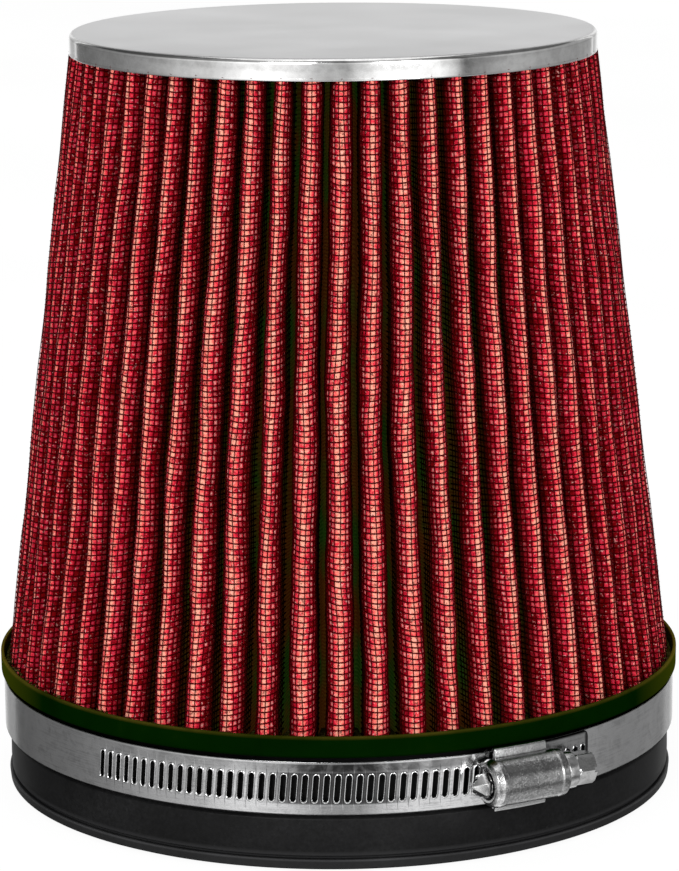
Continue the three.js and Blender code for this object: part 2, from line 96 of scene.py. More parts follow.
def mesh_object(name, points, face_groups, shade_smooth=True):
    """A mesh object from points and a list of equal-sided face arrays."""
    mesh = bpy.data.meshes.new(name)
    points = np.asarray(points, np.float32).reshape(-1, 3)
    face_groups = [np.asarray(group, np.int32) for group in face_groups]
    corners = np.concatenate([group.ravel() for group in face_groups])
    sides = np.concatenate([np.full(len(group), group.shape[1]) for group in face_groups])
    mesh.vertices.add(len(points))
    mesh.vertices.foreach_set("co", points.ravel())
    mesh.loops.add(len(corners))
    mesh.loops.foreach_set("vertex_index", corners)
    mesh.polygons.add(len(sides))
    starts = np.r_[0, np.cumsum(sides)[:-1]].astype(np.int32)
    mesh.polygons.foreach_set("loop_start", starts)
    mesh.polygons.foreach_set("use_smooth", np.full(len(sides), shade_smooth))
    mesh.update(calc_edges=True)
    mesh.validate()
    obj = bpy.data.objects.new(name, mesh)
    bpy.context.scene.collection.objects.link(obj)
    return obj


def join(parts):
    """Several (points, face groups) put together as one."""
    all_points, quads, tris, base = [], [], [], 0
    for points, face_groups in parts:
        points = np.asarray(points, float).reshape(-1, 3)
        all_points.append(points)
        for group in face_groups:
            (quads if group.shape[1] == 4 else tris).append(group + base)
        base += len(points)
    return np.vstack(all_points), [np.vstack(kind) for kind in (quads, tris) if kind]


def grid_faces(rows, cols, wrap=False, flip=False):
    """Quads of a grid of points stored row by row, the last row joined to the first if wrap."""
    row, col = np.meshgrid(np.arange(rows if wrap else rows - 1), np.arange(cols - 1),
                           indexing="ij")
    here = row * cols + col
    there = ((row + 1) % rows) * cols + col
    quads = np.stack([here, there, there + 1, here + 1], -1).reshape(-1, 4)
    return quads[:, ::-1] if flip else quads


def ring_faces(rings, sides, order=(0, 1, 2, 3)):
    """Quads between closed rings. Corners 0 and 1 are on one ring, 2 and 3 on the next."""
    ring, k = np.meshgrid(np.arange(rings - 1), np.arange(sides), indexing="ij")
    after = (k + 1) % sides
    low, high = ring * sides, (ring + 1) * sides
    quads = np.stack([low + k, low + after, high + after, high + k], -1).reshape(-1, 4)
    return quads[:, list(order)]


def swept_faces(stations, count, wrap, closed):
    """Quads of a profile of count points repeated at stations, strip by strip."""
    i = np.arange(stations if wrap else stations - 1)
    j = (i + 1) % stations
    quads = []
    for k in range(count if closed else count - 1):
        after = (k + 1) % count
        quads.append(np.stack([i * count + k, j * count + k,
                               j * count + after, i * count + after], -1))
    return np.vstack(quads)


def rounded(corners, closed=True):
    """The outline of (x, y, radius) corners with each corner rounded."""
    outline, count = [], len(corners)
    for i, (x, y, radius) in enumerate(corners):
        if radius <= 0 or (not closed and i in (0, count - 1)):
            outline.append((x, y))
            continue
        corner = np.array([x, y])
        back = np.array(corners[(i - 1) % count][:2]) - corner
        ahead = np.array(corners[(i + 1) % count][:2]) - corner
        back_len, ahead_len = np.linalg.norm(back), np.linalg.norm(ahead)
        back, ahead = back / back_len, ahead / ahead_len
        half = math.acos(max(-1.0, min(1.0, float(back @ ahead)))) / 2
        if half > math.pi / 2 - 0.02:                # almost straight
            outline.append((x, y))
            continue
        cut = min(radius / math.tan(half), back_len * 0.48, ahead_len * 0.48)
        fitted = cut * math.tan(half)
        bisector = (back + ahead) / np.linalg.norm(back + ahead)
        centre = corner + bisector * (fitted / math.sin(half))
        start, end = corner + back * cut - centre, corner + ahead * cut - centre
        turn = math.atan2(start[0] * end[1] - start[1] * end[0], float(start @ end))
        steps = max(2, int(abs(turn) / 0.3))
        for k in range(steps + 1):
            t = turn * k / steps
            outline.append((centre[0] + start[0] * math.cos(t) - start[1] * math.sin(t),
                            centre[1] + start[0] * math.sin(t) + start[1] * math.cos(t)))
    return outline


def lathe(profile, segments, closed=True):
    """A profile of (radius, z) turned about Z. An open one may start and end near the axis."""
    profile = np.array(profile, float)
    angles = np.arange(segments) * TAU / segments
    points = polar(profile[:, 0], angles[:, None], profile[:, 1])
    return points.reshape(-1, 3), [swept_faces(segments, len(profile), True, closed)]


def tubes_along(paths, radius):
    """Three-sided wires with capped ends along paths, an array of (wire, point, xyz)."""
    wires, count, _ = paths.shape
    tangent = np.gradient(paths, axis=1)
    tangent /= np.linalg.norm(tangent, axis=2, keepdims=True) + 1e-12
    outward = paths * np.array([1, 1, 0])
    outward /= np.linalg.norm(outward, axis=2, keepdims=True) + 1e-12
    side = np.cross(tangent, outward)
    side /= np.linalg.norm(side, axis=2, keepdims=True) + 1e-12
    up = np.cross(side, tangent)
    angle = (np.arange(3) * TAU / 3 + math.pi / 2)[:, None, None, None]
    ring = (np.cos(angle) * side + np.sin(angle) * up) * radius
    points = (paths[None] + ring).transpose(1, 2, 0, 3)
    base = (np.arange(wires) * count * 3)[:, None, None]
    caps = np.array([[2, 1, 0], [0, 1, 2]]) + np.array([[0], [(count - 1) * 3]])
    quads = (base + ring_faces(count, 3)[None]).reshape(-1, 4)
    return points.reshape(-1, 3), [quads, (base + caps[None]).reshape(-1, 3)]


def set_attribute(obj, name, values):
    layer = obj.data.attributes.new(name, "FLOAT", "POINT")
    layer.data.foreach_set("value", np.asarray(values, np.float32).ravel())


def give(obj, body, piece, material):
    obj.data.materials.append(material)
    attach(obj, body)
    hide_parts(piece)
    if material in (GAUZE, WIRE):
        obj.visible_glossy = False


def add_block(bm, corners):
    """A six-sided block: four corners of one end, then four of the other."""
    verts = [bm.verts.new(tuple(corner)) for corner in corners]
    for face in ((0, 3, 2, 1), (4, 5, 6, 7), (0, 1, 5, 4), (1, 2, 6, 5), (2, 3, 7, 6), (3, 0, 4, 7)):
        bm.faces.new([verts[i] for i in face])


def rework(mesh, blocks=(), fill=False):
    """Fills open ends if asked, adds blocks and turns every face outwards."""
    bm = bmesh.new()
    bm.from_mesh(mesh)
    if fill:
        bmesh.ops.holes_fill(bm, edges=[e for e in bm.edges if e.is_boundary], sides=0)
    for corners in blocks:
        add_block(bm, corners)
    bmesh.ops.recalc_face_normals(bm, faces=bm.faces)
    bm.to_mesh(mesh)
    bm.free()


def mark_sharp(obj):
    obj.data.set_sharp_from_angle(angle=math.radians(38))


def soften(obj, width, angle):
    """Smooth shading with bevelled edges."""
    for polygon in obj.data.polygons:
        polygon.use_smooth = True
    bevel = obj.modifiers.new("bevel", "BEVEL")
    bevel.width, bevel.segments = width, 2
    bevel.limit_method, bevel.angle_limit = "ANGLE", angle
    mark_sharp(obj)


# ------------------------------------------------------------ node helpers
def grey(value):
    return (value, value, value)


class Nodes:
    """Short ways to add and link the shader nodes of a material or a world."""

    def __init__(self, owner, kind):
        owner.use_nodes = True
        self.owner = owner
        self.tree = owner.node_tree
        self.tree.nodes.clear()
        self.output = self.tree.nodes.new("ShaderNodeOutput" + kind)

    def add(self, kind, inputs=None, **properties):
        node = self.tree.nodes.new("ShaderNode" + kind)
        for key, value in properties.items():
            setattr(node, key, value)
        for key, value in (inputs or {}).items():
            self.put(node.inputs[key], value)
        return node

    def put(self, socket, value):
        """Links or sets a socket."""
        if isinstance(value, bpy.types.NodeSocket):
            self.tree.links.new(value, socket)
        elif isinstance(value, bpy.types.Node):
            self.tree.links.new(value.outputs[0], socket)
        elif isinstance(value, tuple) and len(value) == 3 and socket.type == "RGBA":
            socket.default_value = (*value, 1)
        else:
            socket.default_value = value

    def math(self, operation, first, second=0.0):
        return self.add("Math", {0: first, 1: second}, operation=operation).outputs[0]

    def plus(self, first, *others):
        for other in others:
            first = self.math("ADD", first, other)
        return first

    def minus(self, first, second):
        return self.math("SUBTRACT", first, second)

    def times(self, first, *others):
        for other in others:
            first = self.math("MULTIPLY", first, other)
        return first

    def scaled_from(self, value, origin, scale):
        return self.times(self.minus(value, origin), scale)

    def length(self, x, y):
        return self.math("SQRT", self.plus(self.math("POWER", x, 2.0), self.math("POWER", y, 2.0)))

    def vector(self, x, y, z):
        return self.add("CombineXYZ", {0: x, 1: y, 2: z})

    def split(self, vector):
        return self.add("SeparateXYZ", {0: vector}).outputs

    def noise(self, vector, scale, detail=3.0, rough=0.55, distortion=0.0):
        return self.add("TexNoise", {"Vector": vector, "Scale": scale, "Detail": detail,
                                     "Roughness": rough, "Distortion": distortion}).outputs["Fac"]

    def ramp(self, value, *stops):
        """A ramp of (position, grey or colour) stops."""
        node = self.add("ValToRGB", {"Fac": value})
        elements = node.color_ramp.elements
        while len(elements) < len(stops):
            elements.new(0.5)
        for element, (position, colour) in zip(elements, stops):
            element.position = position
            element.color = (*(colour if isinstance(colour, tuple) else grey(colour)), 1)
        return node.outputs["Color"]

    def rise(self, value, start, end):
        """0 below start, 1 above end."""
        return self.ramp(value, (start, 0.0), (end, 1.0))

    def fall(self, value, start, end):
        """1 below start, 0 above end."""
        return self.ramp(value, (start, 1.0), (end, 0.0))

    def mix(self, factor, first, second, blend="MIX"):
        return self.add("Mix", {"Factor": factor, 6: first, 7: second},
                        data_type="RGBA", blend_type=blend).outputs[2]

    def multiply(self, first, second):
        return self.mix(1.0, first, second, "MULTIPLY")

    def bump(self, height, strength, distance):
        return self.add("Bump", {"Height": height, "Strength": strength, "Distance": distance})

    def attribute(self, name):
        return self.add("Attribute", attribute_name=name).outputs["Fac"]

    def occlusion(self, distance):
        return self.add("AmbientOcclusion", {"Distance": distance}, samples=6).outputs["AO"]

    def geometry(self, name):
        return self.split(self.add("NewGeometry").outputs[name])

    def surface(self, shader):
        self.put(self.output.inputs["Surface"], shader)

    def principled(self, **inputs):
        """Ends a material with a principled shader and returns the material."""
        self.surface(self.add("BsdfPrincipled", {key.replace("_", " "): value
                                                 for key, value in inputs.items()}))
        return self.owner

    def by_ray(self, mirrored, even, seen):
        """One shader for reflections, one for diffuse light and one for the camera."""
        path = self.add("LightPath").outputs
        other = self.add("MixShader", {0: path["Is Diffuse Ray"], 1: mirrored, 2: even})
        self.surface(self.add("MixShader", {0: path["Is Camera Ray"], 1: other, 2: seen}))

    # object position in metres, and its bearing, height and radius about Z
    @cached_property
    def position(self):
        return self.add("TexCoord").outputs["Object"]

    @cached_property
    def axes(self):
        return self.split(self.position)

    @cached_property
    def bearing(self):
        return self.math("ARCTAN2", self.axes[0], self.times(self.axes[1], -1.0))

    @property
    def height(self):
        return self.axes[2]

    @cached_property
    def radius(self):
        return self.length(self.axes[0], self.axes[1])


def new_material(name):
    return Nodes(bpy.data.materials.new(name), "Material")


# ------------------------------------------------------------ materials
def chrome_material():
    """Spun metal: satin on the flat top with fine turning marks, brighter on the skirt."""
    mat = new_material("cap_chrome")
    flat = mat.rise(mat.geometry("Normal")[2], 0.75, 0.97)
    rings = mat.noise(mat.vector(mat.times(mat.radius, 2600.0), mat.times(mat.bearing, 1.5), 0.0),
                      scale=1.0, detail=2.0)
    cloud = mat.noise(mat.position, scale=38.0, detail=4.0)
    blotch = mat.noise(mat.vector(mat.times(mat.bearing, 16.0), mat.times(mat.height, 300.0), 3.0),
                       scale=1.0, detail=4.0, rough=0.65)
    rough_side = mat.ramp(blotch, (0.35, 0.05), (0.75, 0.16))
    rough_top = mat.ramp(cloud, (0.3, 0.36), (0.7, 0.44))
    tone_side = mat.ramp(blotch, (0.28, (0.72, 0.715, 0.71)), (0.62, (0.93, 0.93, 0.925)))
    tone_top = mat.ramp(cloud, (0.2, (0.70, 0.70, 0.705)), (0.8, (0.74, 0.74, 0.742)))
    return mat.principled(
        Base_Color=mat.mix(flat, tone_side, tone_top),
        Metallic=1.0,
        Roughness=mat.mix(flat, rough_side, rough_top),
        Normal=mat.bump(mat.mix(0.25, rings, blotch), strength=0.05, distance=0.0004))


def painted_glints_and_bands(mat, tone, amount):
    """Painted glints and dark flecks in patches, with painted highlight bands low and high on the
    clamp.
    """
    crystal = mat.add("TexVoronoi", {"Vector": mat.position, "Scale": 2600.0}).outputs["Color"]
    crystal = mat.add("SeparateColor", {0: crystal}).outputs[0]
    patches = mat.rise(mat.noise(mat.position, scale=420.0, detail=4.0, rough=0.7), 0.40, 0.58)
    # painted glints: light crystals in the patches
    light = mat.times(patches, mat.rise(crystal, 0.45, 0.75), amount)
    tone = mat.mix(light, tone, grey(1.0))
    dark = mat.times(patches, mat.fall(crystal, 0.15, 0.35), amount * 0.6)
    tone = mat.mix(dark, tone, grey(0.16))
    # 20 mm of height as 0 to 1, the strap's middle at 0.5
    level = mat.plus(mat.scaled_from(mat.height, STRAP_Z, 50.0), 0.5)
    # painted highlights on the clamp's lower and upper folds
    highlight_bands = mat.ramp(level, (0.17, 0.85), (0.34, 0.10), (0.40, 0.0), (0.74, 0.0), (0.79, 0.45))
    return mat.mix(highlight_bands, tone, grey(0.95))


def strap_painted_light(mat, tone, blotch):
    """Painted shade on the far sides, a painted dark reflection by the clamp and between the front
    slots, painted highlights on the slot rims, and a darker free end with painted shade at its
    edges.
    """
    bearing = mat.bearing

    def bearing_ramp(*stops):
        """A ramp of (bearing in degrees, value) stops, over the halved bearing."""
        return mat.ramp(half_bearing, *((0.5 + math.radians(at) / 2, v) for at, v in stops))

    # painted shade on the strap's far sides
    sides = mat.ramp(mat.times(mat.math("ABSOLUTE", bearing), 0.5),
                     (math.radians(65) / 2, 1.0), (math.radians(73) / 2, 0.52))
    tone = mat.multiply(tone, sides)

    # painted dark reflection along the upper half
    half_bearing = mat.plus(mat.times(bearing, 0.5), 0.5)
    dark_reflection_round = bearing_ramp((-46, 0.0), (-28, 0.45), (-16, 0.42), (-4, 1.0), (7, 1.0),
                               (20, 0.62), (23, 0.0))
    dark_reflection_up = mat.ramp(mat.scaled_from(mat.height, STRAP_Z, 100.0),
                        (0.30, 0.0), (0.42, 1.0), (0.575, 1.0), (0.60, 0.0))
    dark_reflection = mat.times(dark_reflection_round, dark_reflection_up, mat.ramp(blotch, (0.46, 1.0), (0.70, 0.62)))
    tone = mat.mix(mat.times(dark_reflection, 0.94), tone, grey(0.02))

    # distance outside the nearest slot's edge, in mm
    cell = mat.scaled_from(bearing, math.radians(CLAMP_AZ), SLOTS / TAU)
    cell = mat.minus(mat.math("FRACT", mat.plus(cell, 20.5)), 0.5)
    height_mm = mat.scaled_from(mat.height, STRAP_Z, 1000.0)
    cell_mm = mat.times(cell, 2.545)                 # one cell is about 2.545 mm long
    across = mat.minus(cell_mm, mat.times(height_mm, SLOT_LEAN))
    straight_half = (SLOT_HALF_L - SLOT_HALF_W) / MM
    along = mat.math("MAXIMUM", mat.minus(mat.math("ABSOLUTE", height_mm), straight_half), 0.0)
    away = mat.minus(mat.length(across, along), SLOT_HALF_W / MM)
    slot_rim_highlight = mat.fall(away, 0.17, 0.27)
    slotted = mat.times(mat.fall(mat.times(mat.math("ABSOLUTE", height_mm), 0.2), 0.72, 0.80),
                        bearing_ramp((-41, 0.0), (-39, 1.0), (21, 1.0), (22, 0.0)))
    front = bearing_ramp((-13, 0.0), (-8, 1.0), (7, 1.0), (12, 0.0))
    # painted dark reflection between the slots at the front
    tone = mat.mix(mat.times(slotted, front, mat.minus(1.0, slot_rim_highlight), 0.86), tone, grey(0.04))
    # painted highlights on the slot rims
    tone = mat.mix(mat.times(slotted, slot_rim_highlight, 0.7), tone, grey(0.97))

    # the free end: the outer lap between two bearings, darkened, with painted shade at its edges
    lap = mat.times(mat.math("GREATER_THAN", mat.radius, 0.08392),
                    mat.times(mat.math("GREATER_THAN", bearing, math.radians(34)),
                              mat.math("LESS_THAN", bearing, math.radians(45))))
    from_edge = mat.minus(STRAP_HALF, mat.math("ABSOLUTE", mat.minus(mat.height, STRAP_Z)))
    lap_edge_shade = mat.math("MAXIMUM", mat.fall(mat.times(from_edge, 1000.0), 0.2, 0.55),
                       mat.rise(mat.scaled_from(bearing, math.radians(43.1), 100.0), 0.2, 0.9))
    return mat.mix(mat.times(lap, mat.plus(0.35, mat.times(lap_edge_shade, 0.6))), tone, grey(0.03))


def steel_material(name, base, roughness, bump, blotch_dark, streaks=0.15, scale=1.0,
                   sparkle=0.0, strap=False):
    """Rolled or plated steel with streaks round the ring and soft dark blotches."""
    mat = new_material(name)
    streak_at = mat.vector(mat.times(mat.bearing, 7.0), mat.times(mat.height, 2600.0),
                           mat.times(mat.radius, 500.0))
    streak = mat.noise(streak_at, scale=1.0, detail=3.0, rough=0.6)
    blotch = mat.noise(mat.position, 260.0 * scale, detail=5.0, rough=0.62, distortion=0.6)
    fine = mat.noise(mat.position, 1900.0 * scale, detail=4.0, rough=0.7)
    wear = mat.mix(0.4 * streaks, blotch, streak)
    tone = mat.ramp(wear, (0.3, tuple(blotch_dark * c for c in base)), (0.5, base),
                    (0.75, tuple(min(1.0, 1.12 * c) for c in base)))
    gap_shade = mat.ramp(mat.occlusion(0.0016), (0.25, 0.05), (0.55, 0.42), (0.85, 1.0))
    tone = mat.multiply(tone, gap_shade)
    if sparkle:
        tone = painted_glints_and_bands(mat, tone, sparkle)
    if strap:
        tone = strap_painted_light(mat, tone, blotch)
    return mat.principled(
        Base_Color=tone,
        Metallic=1.0,
        Roughness=mat.ramp(mat.mix(0.5, wear, fine), (0.3, roughness * 0.7),
                           (0.7, roughness * 1.35)),
        Normal=mat.bump(mat.mix(0.5, blotch, fine), strength=bump, distance=0.0004))


def rubber_material():
    """Near-black rubber with pale dust, painted shade in its gaps and a painted highlight on its
    lower lip.
    """
    mat = new_material("neck_rubber")
    grain = mat.noise(mat.position, scale=2600.0, detail=3.0, rough=0.6)
    cloud = mat.noise(mat.position, scale=45.0, detail=5.0, rough=0.6)
    dust = mat.rise(mat.noise(mat.position, scale=900.0, detail=2.0, rough=0.5), 0.7, 0.82)
    body = mat.ramp(cloud, (0.32, (0.0040, 0.0040, 0.0042)), (0.68, (0.0135, 0.0135, 0.014)))
    tone = mat.mix(mat.times(dust, 0.35), body, grey(0.06))
    mottle = mat.noise(mat.position, scale=1000.0, detail=3.0, rough=0.7)
    tone = mat.multiply(tone, mat.ramp(mottle, (0.32, 0.45), (0.68, 1.0)))
    gap = mat.occlusion(0.0022)
    height_cm = mat.times(mat.height, 100.0)
    gap_shade = mat.math("MAXIMUM", mat.rise(gap, 0.35, 0.8), mat.fall(height_cm, 0.50, 0.80))
    tone = mat.multiply(tone, gap_shade)
    # the groove above the lip, the painted highlight on the lip's rim, then the whole lip
    groove = mat.ramp(height_cm, (0.31, 0.0), (0.33, 1.0), (0.42, 1.0), (0.50, 0.0))
    tone = mat.mix(mat.times(groove, 0.6), tone, (0.030, 0.030, 0.031))
    # painted highlight on the lip's upper rim
    lip_rim_highlight = mat.times(mat.ramp(height_cm, (0.245, 0.0), (0.275, 1.0), (0.300, 1.0), (0.312, 0.0)),
                     mat.ramp(cloud, (0.3, 0.35), (0.7, 1.0)))
    tone = mat.mix(mat.times(lip_rim_highlight, 0.8), tone, (0.060, 0.060, 0.062))
    lip = mat.fall(height_cm, 0.24, 0.32)
    tone = mat.mix(mat.times(lip, 0.35), tone, (0.032, 0.032, 0.033))
    return mat.principled(
        Base_Color=tone,
        Roughness=mat.ramp(cloud, (0.3, 0.40), (0.8, 0.52)),
        Specular_IOR_Level=mat.times(mat.rise(gap, 0.35, 0.8), 0.13),
        Normal=mat.bump(grain, strength=0.16, distance=0.00025))


def ring_material():
    """Moulded ring: near-black deep green with a painted olive sheen at its thin lip and its sides.
    """
    mat = new_material("ring_green")
    cloud = mat.noise(mat.position, scale=70.0, detail=5.0, rough=0.65, distortion=0.4)
    grain = mat.noise(mat.position, scale=2200.0, detail=2.0)
    lip = mat.rise(mat.scaled_from(mat.height, LIP_Z - 0.0011, 1000.0), 0.35, 1.0)
    body = mat.ramp(cloud, (0.3, (0.0006, 0.0072, 0.0002)), (0.6, (0.0009, 0.0098, 0.0003)),
                    (0.85, (0.0030, 0.0125, 0.0005)))
    # painted olive sheen on the thin lip
    lip_sheen = mat.ramp(cloud, (0.35, (0.030, 0.030, 0.002)), (0.65, (0.085, 0.062, 0.008)))
    tone = mat.mix(mat.times(lip, 0.5), body, lip_sheen)
    # painted olive sheen on the ring's left and right sides
    side = mat.rise(mat.math("ABSOLUTE", mat.math("SINE", mat.bearing)), 0.84, 0.985)
    side_sheen_tone = mat.mix(lip, (0.075, 0.085, 0.004), (0.16, 0.125, 0.014))
    return mat.principled(
        Base_Color=mat.mix(mat.times(side, 0.45), tone, side_sheen_tone),
        Roughness=mat.ramp(cloud, (0.3, 0.35), (0.8, 0.5)),
        Specular_IOR_Level=0.0,
        Normal=mat.bump(grain, strength=0.08, distance=0.0002))


def resin_material():
    """Mottled amber resin, darkened by painted shade and dull low down on the filter."""
    mat = new_material("potting_resin")
    cloud = mat.noise(mat.position, scale=320.0, detail=5.0, rough=0.65, distortion=0.5)
    fine = mat.noise(mat.position, scale=1500.0, detail=3.0)
    tone = mat.ramp(mat.mix(0.4, cloud, fine), (0.3, (0.030, 0.040, 0.005)),
                    (0.5, (0.13, 0.105, 0.018)), (0.68, (0.62, 0.48, 0.20)))
    # painted shade on the resin low down on the filter
    low = mat.ramp(mat.times(mat.height, 5.0), (0.3, 0.78), (0.6, 0.0))
    return mat.principled(
        Base_Color=mat.mix(low, tone, (0.012, 0.014, 0.002)),
        Roughness=mat.ramp(fine, (0.3, 0.35), (0.7, 0.55)),
        Specular_IOR_Level=mat.ramp(mat.times(mat.height, 5.0), (0.3, 0.0), (0.6, 0.04)),
        Normal=mat.bump(cloud, strength=0.4, distance=0.0006))


def wire_material():
    """Epoxy-coated screen wire, dark maroon, with painted shade where it runs down between the
    folds.
    """
    mat = new_material("screen_wire")
    deep = mat.attribute("deep")
    fine = mat.noise(mat.position, scale=1300.0, detail=3.0, rough=0.6)
    tone = mat.ramp(fine, (0.3, (0.040, 0.0002, 0.0010)), (0.6, (0.085, 0.0006, 0.0020)),
                    (0.85, (0.26, 0.004, 0.008)))
    return mat.principled(
        # painted shade down between the folds
        Base_Color=mat.mix(mat.rise(deep, 0.12, 0.30), tone, (0.012, 0.0020, 0.0006)),
        Roughness=mat.ramp(fine, (0.3, 0.4), (0.7, 0.65)),
        Specular_IOR_Level=mat.ramp(deep, (0.0, 0.05), (0.08, 0.0)),
        Specular_Tint=(1.0, 0.45, 0.4),
        Normal=mat.bump(fine, strength=0.3, distance=0.00006))


def gauze_material():
    """Oiled cotton behind the screen. Each cell of the screen gets its own tone; the crown of
    a fold gets a painted coral highlight, its flanks crimson, and painted shade takes the walls
    down through maroon to a dark green-brown, with a faint painted glow in the valleys."""
    mat = new_material("oiled_gauze")
    deep, crown = mat.attribute("deep"), mat.attribute("crown")
    weave = mat.split(mat.add("UVMap", uv_map="weave").outputs["UV"])
    cell = mat.vector(mat.math("FLOOR", weave[0]), mat.math("FLOOR", weave[1]), 0.0)
    cell_random = mat.add("TexWhiteNoise", {"Vector": cell}, noise_dimensions="3D").outputs["Value"]
    threads = mat.noise(mat.vector(mat.times(weave[0], 3.2), mat.times(weave[1], 3.2), 0.0),
                        scale=1.0, detail=3.0, rough=0.7)
    patch = mat.noise(mat.position, scale=90.0, detail=3.0)
    fuzz = mat.noise(mat.position, scale=1250.0, detail=2.0, rough=0.7)

    # how squarely the surface's bearing faces the viewer: 1 is head-on
    place = mat.split(mat.position)
    incoming = mat.geometry("Incoming")
    level = mat.length(incoming[0], incoming[1])
    dot = mat.plus(mat.times(place[0], incoming[0]), mat.times(place[1], incoming[1]))
    facing = mat.math("DIVIDE", dot,
                      mat.math("MAXIMUM", mat.times(mat.radius, level), 0.0001))

    # red tones of the crown and flanks, with a painted highlight on the crown
    glow = mat.plus(mat.times(crown, 0.70),
                    mat.scaled_from(mat.mix(0.45, cell_random, threads), 0.5, 0.75),
                    mat.scaled_from(patch, 0.5, 0.4),
                    mat.scaled_from(fuzz, 0.5, 1.15),
                    0.22)
    # painted shade on folds turned away from the viewer
    glow = mat.minus(glow, mat.ramp(facing, (0.34, 0.22), (0.66, 0.0)))
    tone = mat.ramp(glow, (0.0, (0.22, 0.001, 0.004)), (0.25, (0.52, 0.006, 0.026)),
                    (0.5, (0.88, 0.030, 0.062)), (0.75, (1.0, 0.19, 0.150)),
                    (1.0, (1.0, 0.42, 0.30)))
    # painted glints: small pale pink specks
    spark = mat.rise(mat.noise(mat.position, scale=1700.0, detail=1.0), 0.62, 0.72)
    tone = mat.mix(mat.times(spark, 0.7), tone, (1.0, 0.50, 0.45))
    speck = mat.fall(mat.noise(mat.position, scale=1400.0, detail=2.0), 0.34, 0.44)
    tone = mat.mix(mat.times(speck, 0.75), tone, (0.10, 0.001, 0.004))

    # painted shade of the walls and valleys: maroon, then green and brown
    weft_at = mat.vector(mat.times(weave[1], 1.0), 0.0, 0.0)
    weft = mat.add("TexWave", {"Vector": weft_at, "Scale": 0.5, "Distortion": 1.0,
                               "Detail": 2.0}).outputs["Fac"]
    green = mat.mix(mat.rise(weft, 0.3, 0.8), (0.026, 0.085, 0.008), (0.050, 0.125, 0.016))
    brown = mat.mix(weft, (0.120, 0.030, 0.004), (0.180, 0.070, 0.010))
    brown_share = mat.rise(mat.noise(mat.position, scale=60.0, detail=3.0), 0.38, 0.56)
    low = mat.mix(brown_share, green, brown)
    pit = mat.mix(mat.rise(deep, 0.30, 0.50), (0.065, 0.0040, 0.001), low)
    # painted shade deepening down the fold
    dark = mat.ramp(deep, (0.01, 0.0), (0.08, 0.15), (0.19, 0.62), (0.33, 1.0))
    tone = mat.mix(dark, tone, pit)

    # a painted glint: a bright dot in the middle of some cells on the flanks
    off_u = mat.minus(mat.math("FRACT", weave[0]), 0.5)
    off_v = mat.minus(mat.math("FRACT", weave[1]), 0.5)
    from_middle = mat.math("SQRT", mat.plus(mat.math("POWER", off_u, 2.0),
                                            mat.times(mat.math("POWER", off_v, 2.0), 0.55)))
    flank = mat.times(mat.fall(crown, 0.10, 0.34), mat.fall(deep, 0.10, 0.17))
    glint_dot = mat.times(mat.fall(from_middle, 0.10, 0.30), flank, mat.rise(cell_random, 0.38, 0.62))
    glint_dot_tone = mat.mix(mat.rise(facing, 0.70, 0.92), (0.90, 0.075, 0.150), (1.0, 0.50, 0.44))
    tone = mat.mix(mat.times(glint_dot, mat.ramp(facing, (0.60, 0.42), (0.90, 0.62))), tone, glint_dot_tone)
    return mat.principled(
        Base_Color=tone,
        # a faint painted glow in the valleys
        Emission_Color=mat.multiply(low, mat.rise(deep, 0.30, 0.5)),
        Emission_Strength=0.10,
        Roughness=mat.ramp(threads, (0.3, 0.42), (0.75, 0.66)),
        Specular_IOR_Level=mat.ramp(deep, (0.0, 0.16), (0.10, 0.0)),
        Specular_Tint=(1.0, 0.45, 0.4),
        Normal=mat.bump(threads, strength=0.5, distance=0.00012))


CHROME = chrome_material()
RESIN = resin_material()
WIRE = wire_material()
GAUZE = gauze_material()
RING = ring_material()
RUBBER = rubber_material()
STRAP = steel_material("strap_steel", base=(0.60, 0.60, 0.605), roughness=0.15, bump=0.08,
                       blotch_dark=0.62, streaks=1.0, strap=True)
PLATED = steel_material("clamp_plated", base=grey(0.50), roughness=0.13, bump=0.28,
                        blotch_dark=0.66, scale=1.15, sparkle=0.46)
SCREW = steel_material("screw_steel", base=grey(0.94), roughness=0.10, bump=0.16,
                       blotch_dark=0.60, scale=1.3)

# ------------------------------------------------------------ the folds
FOLDS = 58
FOLD_DEPTH = 14.4 * MM
VALLEY_R = 0.6 * MM
CROWN_SHARE, CROWN_DEPTH = 0.310, 4.3 * MM     # half width of a crown over the pitch; its depth
FOOT_R = 82.4 * MM * (PAN_R / (85.0 * MM))     # over the crowns at the base ring's lip
TOP_R = CAP_R - 0.15 * MM                      # and at the cap's skirt
TURN_LOW, TURN_HIGH = math.radians(0.1), math.radians(1.7)     # the folds twist a little
PHASE = rng.uniform(0, TAU, (6, FOLDS + 1))    # random phases and sizes of each fold's waves
SIZE = rng.uniform(0.6, 1.25, (6, FOLDS + 1))

# the quarter ellipse of a crown: length along it against its angle
ELLIPSE_T = np.linspace(0, math.pi / 2, 400)
ELLIPSE_LEN = np.r_[0, np.cumsum(np.hypot(2.6 * MM * np.diff(np.sin(ELLIPSE_T)),
                                          CROWN_DEPTH * np.diff(np.cos(ELLIPSE_T))))]
ARC = float(ELLIPSE_LEN[-1])
WALL = FOLD_DEPTH - CROWN_DEPTH - VALLEY_R
VALLEY_ARC = VALLEY_R * math.pi / 2
PROFILE = ARC + WALL + VALLEY_ARC              # from a crown's middle to a valley's

# the screen's mesh
PITCH_S, PITCH_Z = 1.22 * MM, 1.33 * MM
ROW0 = LIP_Z - 2.0 * MM
WIRE_R = 0.15 * MM


def rise_share(z):
    """0 at the base ring's lip, 1 at the cap's skirt."""
    return (z - LIP_Z) / (SKIRT_Z - LIP_Z)


